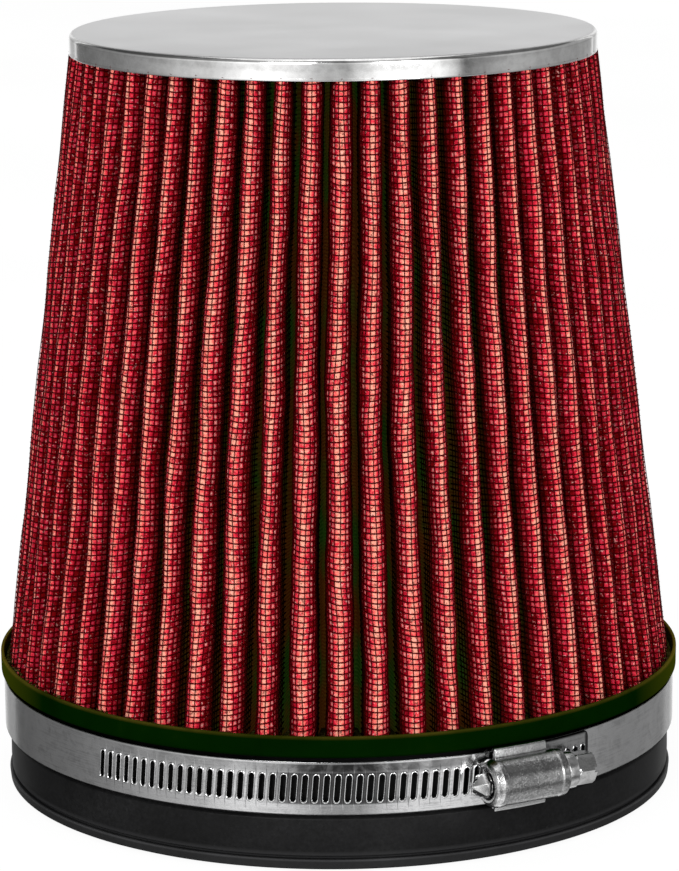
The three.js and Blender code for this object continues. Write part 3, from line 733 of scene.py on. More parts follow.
def sway(fold, z):
    """Sideways wander of a fold at a height. Neighbours wander much alike."""
    k = fold % FOLDS
    envelope = smooth((TOP_Z - z) / 0.045) * (0.35 + 0.65 * smooth((z - LIP_Z) / 0.02))
    slow = 3 * np.sin(k * TAU / FOLDS * 3 + 1.0) + 1.2 * np.sin(k * TAU / FOLDS * 8)
    long_wave = 0.16 * SIZE[0, k] * np.sin(TAU * z / 0.105 + slow + 0.25 * PHASE[0, k])
    mid_wave = 0.11 * SIZE[1, k] * np.sin(TAU * z / 0.052 + slow * 0.6 + 0.5 * PHASE[1, k])
    short_wave = 0.05 * SIZE[2, k] * np.sin(TAU * z / 0.021 + PHASE[2, k])
    shared = -0.72 * np.sin(math.pi * np.clip(rise_share(z), 0, 1)) ** 2
    return (long_wave + mid_wave + short_wave) * envelope * MM + shared * MM


def fold_point(fold, along, z, offset=0.0):
    """Points of a fold at a signed length along its profile from the crown and a height,
    offset metres outside the cotton, with their share of the fold's depth."""
    fold, along, z = np.broadcast_arrays(fold, along, z)
    side, run = np.where(along < 0, -1.0, 1.0), np.abs(along)
    tip_r = FOOT_R + (TOP_R - FOOT_R) * rise_share(z)
    k = fold % FOLDS
    width = (1.0 + 0.10 * np.sin(PHASE[4, k] * 2) + 0.06 * np.sin(TAU * z / 0.047 + PHASE[3, k])
             + 0.03 * np.sin(TAU * z / 0.013 + PHASE[4, k]))
    half = CROWN_SHARE * TAU * tip_r / FOLDS * width
    # crown: a quarter ellipse each side, moved out along its own normal
    t = np.interp(np.clip(run, 0, ARC), ELLIPSE_LEN, ELLIPSE_T)
    normal_x, normal_y = CROWN_DEPTH * np.sin(t), half * np.cos(t)
    normal_len = np.hypot(normal_x, normal_y)
    crown_r = tip_r - CROWN_DEPTH * (1 - np.cos(t)) + offset * normal_y / normal_len
    crown_a = (half * np.sin(t) + offset * normal_x / normal_len) / crown_r
    # wall
    u = np.clip((run - ARC) / WALL, 0, 1)
    outer_r = tip_r - CROWN_DEPTH
    outer_a = (half + offset) / (tip_r - CROWN_DEPTH)
    inner_r = tip_r - FOLD_DEPTH + VALLEY_R
    inner_a = math.pi / FOLDS - (VALLEY_R - offset) / inner_r
    wall_r, wall_a = outer_r + (inner_r - outer_r) * u, outer_a + (inner_a - outer_a) * u
    # valley
    v = np.clip((run - ARC - WALL) / VALLEY_ARC, 0, 1) * math.pi / 2
    valley_r = inner_r - (VALLEY_R - offset) * np.sin(v)
    valley_a = math.pi / FOLDS - (VALLEY_R - offset) * np.cos(v) / valley_r
    on_crown, above_valley = run <= ARC, run <= ARC + WALL
    radius = np.where(on_crown, crown_r, np.where(above_valley, wall_r, valley_r))
    angle = np.where(on_crown, crown_a, np.where(above_valley, wall_a, valley_a))
    depth = np.clip((tip_r - radius) / FOLD_DEPTH, 0, 1)
    # wander: whole at the crown, shared with the neighbour in the valley
    own = sway(fold, z)
    shared = 0.25 * (own + sway(fold + np.where(along < 0, -1, 1), z))
    wander = own + (shared - own) * smooth(depth)
    bulge = (0.22 * MM * np.sin(TAU * z / 0.043 + PHASE[5, k]) * (1 - depth)
             * smooth((TOP_Z - z) / 0.03) * smooth((z - LIP_Z) / 0.02))
    radius = radius + np.minimum(bulge, 0.05 * MM)
    twist = TURN_LOW + (TURN_HIGH - TURN_LOW) * rise_share(z)
    bearing = twist + fold * TAU / FOLDS + side * angle + wander / radius
    return polar(radius, bearing, z), depth


def drift(fold, z):
    """How far the screen's upright wires slide round a fold with height."""
    k = fold % FOLDS
    return (0.38 * np.sin(TAU * z / 0.118 + PHASE[1, k] * 1.7)
            + 0.16 * np.sin(TAU * z / 0.034 + PHASE[0, k])) * PITCH_S


def row_lift(fold, along, z):
    """How far a crosswise wire rises or sags."""
    k = fold % FOLDS
    lean = (0.20 * np.sin(TAU * z / 0.09 + 2.2 * np.sin(k * TAU / FOLDS * 2))
            + 0.08 * np.sin(TAU * z / 0.03 + PHASE[2, k]))
    return (lean * along / (2 * MM)
            + 0.11 * np.sin(TAU * z / 0.023 + PHASE[3, k] + along / (2.5 * MM))
            + 0.07 * np.sin(z * 2900 + PHASE[0, k] + along * 900)) * MM


def build_ply(name, piece, offset, crown, wall, valley, levels, inward=False):
    """A pleated sheet through every fold, with crown, wall and valley steps a side."""
    half = np.r_[np.linspace(0, ARC, crown + 1),
                 np.linspace(ARC, PROFILE - VALLEY_ARC, wall + 1)[1:],
                 np.linspace(PROFILE - VALLEY_ARC, PROFILE, valley + 1)[1:]]
    stations = np.r_[-half[:0:-1], half[:-1]]
    z = np.linspace(FOOT_Z, TOP_Z, levels)[None, :]
    fold = np.repeat(np.arange(FOLDS), len(stations))[:, None]
    along = np.tile(stations, FOLDS)[:, None]
    points, depth = fold_point(fold, along, z, offset)
    obj = mesh_object(name, points, [grid_faces(len(fold), levels, wrap=True, flip=inward)])
    set_attribute(obj, "deep", depth)
    set_attribute(obj, "crown", np.exp(-(((np.abs(along) + 0 * z) / (1.25 * MM)) ** 2)))
    # one UV unit is one cell of the screen
    mesh = obj.data
    layer = mesh.uv_layers.new(name="weave")
    u = (along - drift(fold, z)) / PITCH_S + 40 * fold + 0.5
    v = (z - row_lift(fold, along, z) - ROW0) / PITCH_Z
    weave = np.stack([u, v], -1).reshape(-1, 2)
    corner = np.empty(len(mesh.loops), np.int32)
    mesh.loops.foreach_get("vertex_index", corner)
    layer.data.foreach_set("uv", weave[corner].astype(np.float32).ravel())
    give(obj, "filter", piece, GAUZE)


def all_pairs(first, second):
    """Every pair of two lists, as two columns."""
    return [grid.reshape(-1, 1) for grid in np.meshgrid(first, second, indexing="ij")]


def build_outer_screen():
    """Wires over each crown and the outer part of its walls, in six sectors."""
    lift = 0.16 * MM
    rows = np.arange(ROW0, SKIRT_Z + 1.2 * MM, PITCH_Z)
    half = np.r_[0.0, 0.75, 1.5, 2.3, 3.2, 4.2, ARC / MM, ARC / MM + 3.6] * MM
    cross_stations = np.r_[-half[:0:-1], half][None, :]
    upright_at = (np.arange(14) - 6.5) * PITCH_S
    upright_z = np.linspace(ROW0 - 0.3 * MM, SKIRT_Z + 1.0 * MM, 44)[None, :]
    sectors = 6
    for sector in range(sectors):
        folds = np.arange(sector * FOLDS // sectors, (sector + 1) * FOLDS // sectors)
        fold, z = all_pairs(folds, rows)
        cross, cross_depth = fold_point(fold, cross_stations,
                                        z + row_lift(fold, cross_stations, z), lift)
        fold, along = all_pairs(folds, upright_at)
        upright, upright_depth = fold_point(fold, along + drift(fold, upright_z), upright_z, lift)
        obj = mesh_object(f"outer_screen_{sector + 1}",
                          *join([tubes_along(cross, WIRE_R * 1.35),
                                 tubes_along(upright, WIRE_R * 0.86)]))
        depths = np.r_[cross_depth.reshape(-1), upright_depth.reshape(-1)]
        set_attribute(obj, "deep", np.repeat(depths, 3))
        give(obj, "filter", "outer_screen", WIRE)


def build_inner_screen():
    """Wires over the inner folds, behind the cotton."""
    offset = -0.75 * MM
    stations = PROFILE - (np.r_[0.0, 0.75, 1.5, 3.5, 6.0] * MM)[::-1]
    fold, z = all_pairs(np.arange(FOLDS), np.arange(LIP_Z, SKIRT_Z, 3 * PITCH_Z))
    down, _ = fold_point(fold, stations[None, :], z, offset)
    back, _ = fold_point(fold + 1, -stations[None, ::-1], z, offset)
    parts = [tubes_along(np.concatenate([down, back[:, 1:]], 1), WIRE_R)]
    upright_at = PROFILE - np.array([0.15, 1.6, 3.05]) * MM
    upright_z = np.linspace(FOOT_Z + 0.4 * MM, TOP_Z - 0.3 * MM, 24)[None, :]
    for side in (1, -1):
        fold, along = all_pairs(np.arange(FOLDS), upright_at * side)
        parts.append(tubes_along(fold_point(fold, along, upright_z, offset)[0], WIRE_R))
    points, faces = join(parts)
    obj = mesh_object("inner_screen_wires", points, faces)
    set_attribute(obj, "deep", np.full(len(points), 0.12))
    give(obj, "filter", "inner_screen", WIRE)


build_ply("gauze_outer_ply", "gauze_ply_outer", 0.0, crown=8, wall=4, valley=2, levels=60)
build_ply("gauze_inner_ply", "gauze_ply_inner", -0.45 * MM, crown=3, wall=3, valley=3, levels=40,
          inward=True)
build_outer_screen()
build_inner_screen()

# ------------------------------------------------------------ turned pieces
CAP_WALL = 1.0 * MM
AXIS_R = 0.0001                                # open profiles stop just short of the axis
BASE_BORE = 65.0 * MM


def build_turned(name, corners, segments, piece, material, closed=True):
    """A piece turned from (radius, z, corner radius) corners."""
    obj = mesh_object(name, *lathe(rounded(corners, closed), segments, closed))
    give(obj, "filter", piece, material)


build_turned("top_cap_spun", [
    (AXIS_R, CAP_Z + 0.0001, 0), (CAP_R * 0.6, CAP_Z + 0.0001, 0),
    (CAP_R, CAP_Z, 1.25 * MM), (CAP_R, SKIRT_Z + 0.7 * MM, 0.3 * MM),
    (CAP_R + 0.12 * MM, SKIRT_Z, 0.22 * MM), (CAP_R - CAP_WALL, SKIRT_Z, 0.22 * MM),
    (CAP_R - CAP_WALL, CAP_Z - CAP_WALL, 0.6 * MM), (AXIS_R, CAP_Z - CAP_WALL, 0),
], 320, "top_cap", CHROME, closed=False)

disc_r = CAP_R - CAP_WALL - 0.05 * MM
disc_top = CAP_Z - CAP_WALL - 0.1 * MM
build_turned("cap_potting_disc", [
    (AXIS_R, TOP_Z, 0), (CAP_R - CAP_WALL - 0.3 * MM, TOP_Z, 0.3 * MM),
    (disc_r, TOP_Z + 0.6 * MM, 0.2 * MM), (disc_r, disc_top, 0.3 * MM), (AXIS_R, disc_top, 0),
], 192, "cap_potting", RESIN, closed=False)

pan_floor = PAN_Z + 1.1 * MM
build_turned("base_pan_ring", [
    (BASE_BORE, PAN_Z, 0.2 * MM), (PAN_R - 0.5 * MM, PAN_Z, 0.3 * MM),
    (PAN_R - 0.05 * MM, PAN_Z + 0.6 * MM, 0.4 * MM), (PAN_R, LIP_Z + 0.15 * MM, 0.3 * MM),
    (PAN_R - 0.8 * MM, LIP_Z + 0.1 * MM, 0.25 * MM), (PAN_R - 0.95 * MM, pan_floor, 0.3 * MM),
    (BASE_BORE + 1.0 * MM, pan_floor, 0.3 * MM),
    (BASE_BORE + 1.0 * MM, FOOT_Z + 1.0 * MM, 0.3 * MM), (BASE_BORE, FOOT_Z + 1.0 * MM, 0.3 * MM),
], 320, "base_pan", RING)


def blob(centre, size, seed):
    """A small lump of set resin: a round form pushed in and out by waves."""
    draws = np.random.default_rng(seed)
    meridians, levels = 8, 6
    around, down = np.meshgrid(np.linspace(0, TAU, meridians + 1)[:-1],
                               np.linspace(0.12, math.pi - 0.12, levels), indexing="ij")
    swell = (1 + 0.28 * np.sin(3 * around + draws.uniform(0, 6)) * np.sin(down)
             + 0.2 * np.cos(2 * down + draws.uniform(0, 6)))
    ball = np.stack([np.sin(down) * np.cos(around), np.sin(down) * np.sin(around),
                     np.cos(down) * 0.7], -1)
    points = (ball * swell[..., None] * size + np.array(centre)).reshape(-1, 3)
    top = np.array([[levels * k, levels * (k + 1), 0] for k in range(1, meridians - 1)])
    bottom = top[:, ::-1] + levels - 1
    return points, [grid_faces(meridians, levels, wrap=True), top, bottom]


def build_base_potting():
    """The resin fill of the base ring, with lumps near its lip to the left and right."""
    fill_z, fill_r = PAN_Z + 1.15 * MM, BASE_BORE + 1.05 * MM
    parts = [lathe(rounded([
        (fill_r, fill_z, 0), (PAN_R - 1.25 * MM, fill_z, 0),
        (PAN_R - 1.2 * MM, FOOT_Z + 0.9 * MM, 0.4 * MM),
        (PAN_R - 2.4 * MM, FOOT_Z + 0.1 * MM, 0.6 * MM),
        (BASE_BORE + 2.2 * MM, FOOT_Z + 0.1 * MM, 0.6 * MM),
        (fill_r, FOOT_Z + 0.8 * MM, 0.3 * MM)]), 240)]
    # count, first bearing, spread, crowding power, least drop below the lip, sizes, first seed
    for count, first, spread, power, drop, small, large, seed in (
            (46, -82, 44, 1.3, 0.1, 0.18, 0.42, 100),
            (10, 60, 25, 1.0, 0.2, 0.15, 0.30, 200)):
        for k in range(count):
            bearing = math.radians(first + spread * rng.random() ** power)
            radius = PAN_R - 1.5 * MM - rng.uniform(0, 0.9) * MM
            centre = polar(radius, bearing, LIP_Z - rng.uniform(drop, 0.9) * MM)
            parts.append(blob(centre, rng.uniform(small, large) * MM, seed + k))
    obj = mesh_object("base_potting_fill", *join(parts))
    give(obj, "filter", "base_potting", RESIN)


build_base_potting()

NECK_BORE, NECK_R = 76.2 * MM, 83.0 * MM
SEAT_R, MOUTH_R, NECK_LIP_R = 82.2 * MM, 81.2 * MM, 83.5 * MM
build_turned("inlet_neck_moulding", [
    (NECK_BORE + 0.8 * MM, 0.0, 0.3 * MM), (MOUTH_R, 0.0, 0.4 * MM),
    (NECK_LIP_R - 0.2 * MM, 0.9 * MM, 0.4 * MM), (NECK_LIP_R, 2.95 * MM, 0.14 * MM),
    (NECK_LIP_R - 0.40 * MM, 3.12 * MM, 0.08 * MM), (NECK_R - 0.62 * MM, 3.14 * MM, 0.08 * MM),
    (NECK_R - 0.62 * MM, 3.5 * MM, 0.1 * MM), (NECK_R - 0.12 * MM, 3.9 * MM, 0.15 * MM),
    (NECK_R, 6.5 * MM, 2.0 * MM), (NECK_R - 0.05 * MM, 12.7 * MM, 0.5 * MM),
    (SEAT_R, 13.4 * MM, 0.4 * MM), (SEAT_R, NECK_TOP - 0.05 * MM, 0.3 * MM),
    (NECK_BORE, NECK_TOP, 0.4 * MM), (NECK_BORE, 0.8 * MM, 0.4 * MM),
], 360, "inlet_neck", RUBBER)

# ------------------------------------------------------------ strap
SLOT_PITCH = 360.0 / SLOTS                     # degrees
FIRST_CELL, LAST_CELL = -41, 8                 # slotted cells, counted from the screw's bearing
STRAP_T = 0.7 * MM
LAP_IN, LAP_OUT, FREE = 83.15 * MM, 84.0 * MM, 83.6 * MM     # radii of the strap's inner face
EDGE_R = 0.16 * MM
FACE_HALF = STRAP_HALF - EDGE_R
STRAP_START, STRAP_END = 23.6, 360 + 44.1      # bearings; the strap laps over itself
PLAIN_STATIONS = 100
CELL_STEPS = 4


def on_strap(bearing, z, lift):
    """Points at a bearing in degrees, a height from mid-strap and a lift off the inner face."""
    radius = (LAP_IN + (FREE - LAP_IN) * smooth((bearing - 46) / 50)
              + (LAP_OUT - FREE) * smooth((bearing - 310) / 63))
    return polar(radius + lift, np.radians(bearing), STRAP_Z + z)


def strap_face(bearings, cut, lift, flip):
    """A plain stretch of one face."""
    z = np.linspace(-1, 1, 5)[None, :] * (FACE_HALF - cut[:, None])
    points = on_strap(bearings[:, None], z, lift)
    return points.reshape(-1, 3), [grid_faces(len(bearings), 5, flip=flip)]


def strap_end(bearing, cut, flip):
    half, edge = STRAP_HALF - cut, EDGE_R
    loop = [(half - edge, STRAP_T), (half, STRAP_T - edge), (half, edge), (half - edge, 0),
            (-(half - edge), 0), (-half, edge), (-half, STRAP_T - edge), (-(half - edge), STRAP_T)]
    points = np.array([on_strap(bearing, z, lift) for z, lift in loop])
    fan = np.array([[0, k, k + 1] for k in range(1, 7)])
    return points, [fan[:, ::-1] if flip else fan]


def cell_outline():
    """The edge of a cell, 24 points: x is a share of the pitch, y of the half height."""
    top = [(-0.5 + k / 4, 1.0) for k in range(4)]
    right = [(0.5, 1.0 - k / 4) for k in range(8)]
    bottom = [(0.5 - k / 4, -1.0) for k in range(4)]
    left = [(-0.5, -1.0 + k / 4) for k in range(8)]
    return np.array(top + right + bottom + left)


def slot_outline(half_w, half_l):
    """A round-ended slot of 24 points that match the cell's."""
    straight = half_l - half_w
    points = []
    for direction, start in ((1, math.pi), (-1, 0.0)):
        for k in range(4):
            angle = start - math.pi * k / 4
            points.append((half_w * math.cos(angle),
                           direction * straight + half_w * math.sin(angle)))
        for k in range(8):
            points.append((direction * half_w, straight * direction * (1 - k / 4)))
    return np.array(points)


# rings of a slot, outside to inside: wider by, longer by, lift off the strap's inner face
SLOT_RINGS = (
    (0.48 * MM, 0.52 * MM, STRAP_T),
    (0.42 * MM, 0.46 * MM, STRAP_T),
    (0.28 * MM, 0.32 * MM, STRAP_T + 0.15 * MM),
    (0.14 * MM, 0.16 * MM, STRAP_T + 0.19 * MM),
    (0.02 * MM, 0.02 * MM, STRAP_T + 0.06 * MM),
    (0.0, 0.0, STRAP_T - 0.15 * MM),
    (0.0, 0.0, 0.0),
)


def slotted_cell(cell):
    """One pitch of the strap with a leaning slot that has a raised rim."""
    middle = 360 + CLAMP_AZ + cell * SLOT_PITCH
    middle_r = float(np.linalg.norm(on_strap(middle, 0.0, 0.0)[:2]))
    pitch_length = math.radians(SLOT_PITCH) * (middle_r + STRAP_T)
    outline = cell_outline()
    edge_bearing, edge_z = outline[:, 0] * SLOT_PITCH + middle, outline[:, 1] * FACE_HALF
    rings = [on_strap(edge_bearing, edge_z, STRAP_T)]
    for wider, longer, lift in SLOT_RINGS:
        slot = slot_outline(SLOT_HALF_W + wider, SLOT_HALF_L + longer)
        shift = (slot[:, 0] + slot[:, 1] * SLOT_LEAN) / pitch_length * SLOT_PITCH
        rings.append(on_strap(middle + shift, slot[:, 1], lift))
    rings.append(on_strap(edge_bearing, edge_z, 0.0))
    faces = ring_faces(len(rings), len(outline), order=(1, 0, 3, 2))
    return np.stack(rings).reshape(-1, 3), [faces]


def build_strap():
    cells = range(FIRST_CELL, LAST_CELL + 1)
    slots_start = 360 + CLAMP_AZ + (FIRST_CELL - 0.5) * SLOT_PITCH
    bearings = list(np.linspace(STRAP_START, slots_start, PLAIN_STATIONS))[:-1]
    bearings += [slots_start + SLOT_PITCH * k / CELL_STEPS
                 for k in range(len(cells) * CELL_STEPS + 1)]
    slots_end = bearings[-1]
    bearings += [slots_end + (STRAP_END - slots_end) * x for x in (0.35, 0.65, 0.85, 1.0)]
    # how far the rounded free end is cut back from each edge
    cut = np.array([0.0] * (len(bearings) - 4) + [0.12, 0.4, 0.75, 1.2]) * MM
    bearings = np.array(bearings)

    # rounded edge: height from mid-strap, lift
    edge = np.array([(FACE_HALF, STRAP_T), (STRAP_HALF - 0.3 * EDGE_R, STRAP_T - 0.3 * EDGE_R),
                     (STRAP_HALF, STRAP_T - EDGE_R), (STRAP_HALF, EDGE_R),
                     (STRAP_HALF - 0.3 * EDGE_R, 0.3 * EDGE_R), (FACE_HALF, 0.0)])
    parts = []
    for side in (1, -1):
        z = side * (edge[None, :, 0] - cut[:, None])
        points = on_strap(bearings[:, None], z, edge[None, :, 1])
        parts.append((points.reshape(-1, 3),
                      [grid_faces(len(bearings), len(edge), flip=side > 0)]))
    for plain in (slice(0, PLAIN_STATIONS), slice(-5, None)):
        parts.append(strap_face(bearings[plain], cut[plain], STRAP_T, False))
        parts.append(strap_face(bearings[plain], cut[plain], 0.0, True))
    parts.append(strap_end(bearings[0], cut[0], False))
    parts.append(strap_end(bearings[-1], cut[-1], True))
    parts += [slotted_cell(cell) for cell in cells]

    obj = mesh_object("clamp_strap_band", *join(parts))
    weld = obj.modifiers.new("weld", "WELD")
    weld.merge_threshold = 0.000004
    mark_sharp(obj)
    give(obj, "strap", "clamp_strap", STRAP)


build_strap()

# ------------------------------------------------------------ clamp
# its own frame: x outwards from the filter's axis, y along the screw, z up from mid-strap
HOUSING_R, HOUSING_T = 5.75 * MM, 0.75 * MM
HOUSING_CUT = 3.0 * MM                         # the barrel is open this far inside the screw axis
TIP_END, HEAD_END = -10.3 * MM, 9.8 * MM       # the barrel's ends along the screw
FLANGE_HALF = 6.6 * MM


def placed(points):
    """Points of the clamp's frame put in the world."""
    c, s = math.cos(math.radians(CLAMP_AZ)), math.sin(math.radians(CLAMP_AZ))
    axes = np.array([[s, c, 0], [-c, s, 0], [0, 0, 1]])
    return np.asarray(points, float) @ axes.T + np.array([0, 0, STRAP_Z])


def around_screw(profile, segments, start=0.0, end=TAU, closed=True):
    """A profile of (radius, y) turned about the screw's axis, angle 0 being outwards."""
    profile = np.array(profile, float)
    whole = abs(end - start - TAU) < 1e-6
    stations = segments if whole else segments + 1
    angles = (start + (end - start) * np.arange(stations) / segments)[:, None]
    radius = profile[:, 0]
    points = np.stack(np.broadcast_arrays(SCREW_OUT + np.cos(angles) * radius, profile[:, 1],
                                          np.sin(angles) * radius), -1)
    faces = swept_faces(stations, len(profile), whole, closed)[:, ::-1]
    return points.reshape(-1, 3), [faces]


def build_housing():
    """A barrel over the screw, open towards the strap, with a flange above and below."""
    profile = rounded([
        (3.7 * MM, TIP_END + 0.15 * MM, 0.1 * MM), (HOUSING_R - 1.3 * MM, TIP_END, 0.5 * MM),
        (HOUSING_R - 0.55 * MM, TIP_END + 0.55 * MM, 0.5 * MM),
        (HOUSING_R + 0.02 * MM, TIP_END + 1.9 * MM, 0.7 * MM),
        (HOUSING_R + 0.02 * MM, TIP_END + 3.0 * MM, 0.3 * MM),
        (HOUSING_R - 0.1 * MM, TIP_END + 3.4 * MM, 0.3 * MM),
        (HOUSING_R - 0.1 * MM, HEAD_END - 2.4 * MM, 0.3 * MM),
        (HOUSING_R, HEAD_END - 1.9 * MM, 0.3 * MM),
        (HOUSING_R - 0.1 * MM, HEAD_END - 0.2 * MM, 0.3 * MM),
        (HOUSING_R - 0.5 * MM, HEAD_END, 0.2 * MM), (4.15 * MM, HEAD_END, 0.15 * MM),
        (4.15 * MM, HEAD_END - 0.75 * MM, 0.1 * MM),
        (HOUSING_R - HOUSING_T, HEAD_END - 0.75 * MM, 0.1 * MM),
        (HOUSING_R - HOUSING_T, TIP_END + 1.3 * MM, 0.3 * MM),
        (3.7 * MM, TIP_END + 1.0 * MM, 0.1 * MM)])
    half_turn = math.acos(-HOUSING_CUT / HOUSING_R)
    points, faces = around_screw(profile, 72, -half_turn, half_turn)
    obj = mesh_object("clamp_housing_barrel", placed(points), faces)

    foot_z = math.sqrt((HOUSING_R - HOUSING_T) ** 2 - HOUSING_CUT ** 2)
    flange_tip = 6.35 * MM
    flanges = []
    for side in (1, -1):
        corners = []
        for x, root in ((85.6 * MM, foot_z + 0.1 * MM), (86.35 * MM, foot_z + 0.7 * MM)):
            corners += [(x, -FLANGE_HALF, side * root), (x, FLANGE_HALF, side * root),
                        (x, FLANGE_HALF, side * flange_tip), (x, -FLANGE_HALF, side * flange_tip)]
        flanges.append(placed(corners))
    rework(obj.data, flanges, fill=True)
    soften(obj, 0.12 * MM, 0.7)
    give(obj, "clamp_body", "clamp_housing", PLATED)


def build_saddle():
    """Curved channel under the strap, its sides folded over the housing's flanges."""
    plate_t = 0.55 * MM
    floor_r = 82.5 * MM
    side_z, fold_z = 7.05 * MM, 7.7 * MM
    # upper half of the section: radius, height from mid-strap, corner radius
    upper = [
        (floor_r, side_z, 0.5 * MM), (85.4 * MM, side_z, 0.5 * MM), (86.25 * MM, fold_z, 0.35 * MM),
        (87.35 * MM, fold_z - 0.1 * MM, 0.45 * MM), (87.75 * MM, 5.55 * MM, 0.12 * MM),
        (87.15 * MM, 5.55 * MM, 0.12 * MM), (86.75 * MM, fold_z - 0.7 * MM, 0.2 * MM),
        (86.4 * MM, fold_z - 0.7 * MM, 0.2 * MM), (85.5 * MM, side_z - plate_t, 0.3 * MM),
        (floor_r + plate_t, side_z - plate_t, 0.3 * MM)]
    section = np.array(rounded(upper + [(r, -z, corner) for r, z, corner in reversed(upper)]))
    half_deg = math.degrees(6.8 * MM / (85.5 * MM))
    stations = 17
    bearings = np.radians(np.linspace(CLAMP_AZ - half_deg, CLAMP_AZ + half_deg, stations))
    points = polar(section[:, 0], bearings[:, None], STRAP_Z + section[:, 1])
    obj = mesh_object("clamp_saddle_plate", points,
                      [swept_faces(stations, len(section), wrap=False, closed=True)])
    # a short tongue at each end of the floor
    tongue_z = 5.6 * MM
    tongue = [(floor_r, -tongue_z), (floor_r + plate_t, -tongue_z),
              (floor_r + plate_t, tongue_z), (floor_r, tongue_z)]
    tongues = [[polar(radius, math.radians(bearing), STRAP_Z + z)
                for bearing in (CLAMP_AZ + side * (half_deg - 0.3), CLAMP_AZ + side * 7.6)
                for radius, z in tongue]
               for side in (1, -1)]
    rework(obj.data, tongues, fill=True)
    soften(obj, 0.1 * MM, 0.8)
    give(obj, "clamp_body", "clamp_saddle", PLATED)


def screw_core():
    """Shank and collar."""
    return around_screw(rounded([
        (0.00005, -10.2 * MM, 0), (2.8 * MM, -10.2 * MM, 0.1 * MM), (2.8 * MM, -9.0 * MM, 0.2 * MM),
        (3.75 * MM, -8.8 * MM, 0.1 * MM), (3.75 * MM, HEAD_END + 0.3 * MM, 0.1 * MM),
        (4.5 * MM, HEAD_END + 0.35 * MM, 0.25 * MM), (4.5 * MM, 12.75 * MM, 0.3 * MM),
        (3.6 * MM, 13.2 * MM, 0.2 * MM), (0.00005, 13.25 * MM, 0)], closed=False),
        40, closed=False)


def screw_thread():
    """A thread whose pitch is that of the strap's slots."""
    pitch = TAU * (LAP_OUT + STRAP_T / 2) / SLOTS
    y = np.linspace(-8.6 * MM, 7.6 * MM, 190)
    angle = (y / pitch * TAU - math.pi / 2)[:, None]
    # section: radius, y
    section = np.array([(3.55, -0.66), (4.35, -0.42), (4.6, -0.24),
                        (4.6, 0.24), (4.35, 0.42), (3.55, 0.66)]) * MM
    radius = section[None, :, 0]
    points = np.stack([SCREW_OUT + radius * np.sin(angle), y[:, None] + section[None, :, 1],
                       radius * np.cos(angle)], -1)
    count = len(section)
    start = np.arange(len(y) - 1) * count
    root = np.stack([start + count - 1, start + 2 * count - 1, start + count, start], -1)
    return points.reshape(-1, 3), [np.vstack([grid_faces(len(y), count), root])]


def screw_head():
    """Hexagon with chamfered corners."""
    flats = 7.1 * MM
    corner_r = flats / math.sqrt(3)
    turn = math.radians(3.5)
    sides = 48
    # y, cut back of the corners
    stations = ((13.2 * MM, 0.35 * MM), (13.6 * MM, 0.0), (17.6 * MM, 0.0),
                (18.15 * MM, 0.30 * MM), (18.4 * MM, 0.85 * MM))
    points = []
    for y, inset in stations:
        for k in range(sides):
            angle = TAU * k / sides
            to_flat = (flats / 2) / math.cos((angle % (math.pi / 3)) - math.pi / 6)
            radius = min(to_flat, corner_r - inset)
            points.append((SCREW_OUT + radius * math.cos(angle + turn), y,
                           radius * math.sin(angle + turn)))
    fan = np.array([[0, k, k + 1] for k in range(1, sides - 1)])
    return points, [ring_faces(len(stations), sides), fan[:, [0, 2, 1]],
                    fan + (len(stations) - 1) * sides]


def screw_tip():
    """Six-sided point."""
    # y, radius
    stations = ((-10.0, 2.95), (-11.45, 2.95), (-11.8, 2.7), (-13.85, 0.55), (-14.1, 0.12))
    angles = [math.radians(60 * k + 22) for k in range(6)]
    points = [(SCREW_OUT + radius * MM * math.cos(angle), y * MM, radius * MM * math.sin(angle))
              for y, radius in stations for angle in angles]
    fan = np.array([[0, k, k + 1] for k in range(1, 5)])
    return points, [ring_faces(len(stations), 6, order=(0, 3, 2, 1)), fan,
                    fan[:, [0, 2, 1]] + (len(stations) - 1) * 6]


def cut_driver_slot(screw):
    """Cuts a straight slot across the screw's head."""
    turn = math.radians(-2.5)
    half_l, half_w = 7 * MM, 0.62 * MM
    corners = []
    for y in (17.3 * MM, 19.2 * MM):
        for a, b in ((-half_l, -half_w), (half_l, -half_w), (half_l, half_w), (-half_l, half_w)):
            corners.append((SCREW_OUT + a * math.cos(turn) + b * math.sin(turn), y,
                            -a * math.sin(turn) + b * math.cos(turn)))
    cutter_mesh = bpy.data.meshes.new("slot_cutter")
    rework(cutter_mesh, [placed(corners)])
    cutter = bpy.data.objects.new("slot_cutter", cutter_mesh)
    bpy.context.scene.collection.objects.link(cutter)
    boolean = screw.modifiers.new("slot", "BOOLEAN")
    boolean.operation, boolean.object, boolean.solver = "DIFFERENCE", cutter, "EXACT"
    bpy.context.view_layer.update()
    depsgraph = bpy.context.evaluated_depsgraph_get()
    cut_mesh = bpy.data.meshes.new_from_object(screw.evaluated_get(depsgraph))
    screw.modifiers.clear()
    screw.data = cut_mesh
    bpy.data.objects.remove(cutter)


def build_screw():
    points, faces = join([screw_core(), screw_thread(), screw_head(), screw_tip()])
    obj = mesh_object("clamp_screw_worm", placed(points), faces)
    rework(obj.data)
    cut_driver_slot(obj)
    soften(obj, 0.07 * MM, 0.5)
    give(obj, "screw", "clamp_screw", SCREW)


build_housing()
build_saddle()
build_screw()

# ------------------------------------------------------------ studio
AMBIENT = 0.72                                 # even light on diffuse surfaces
PEAK = 1.3
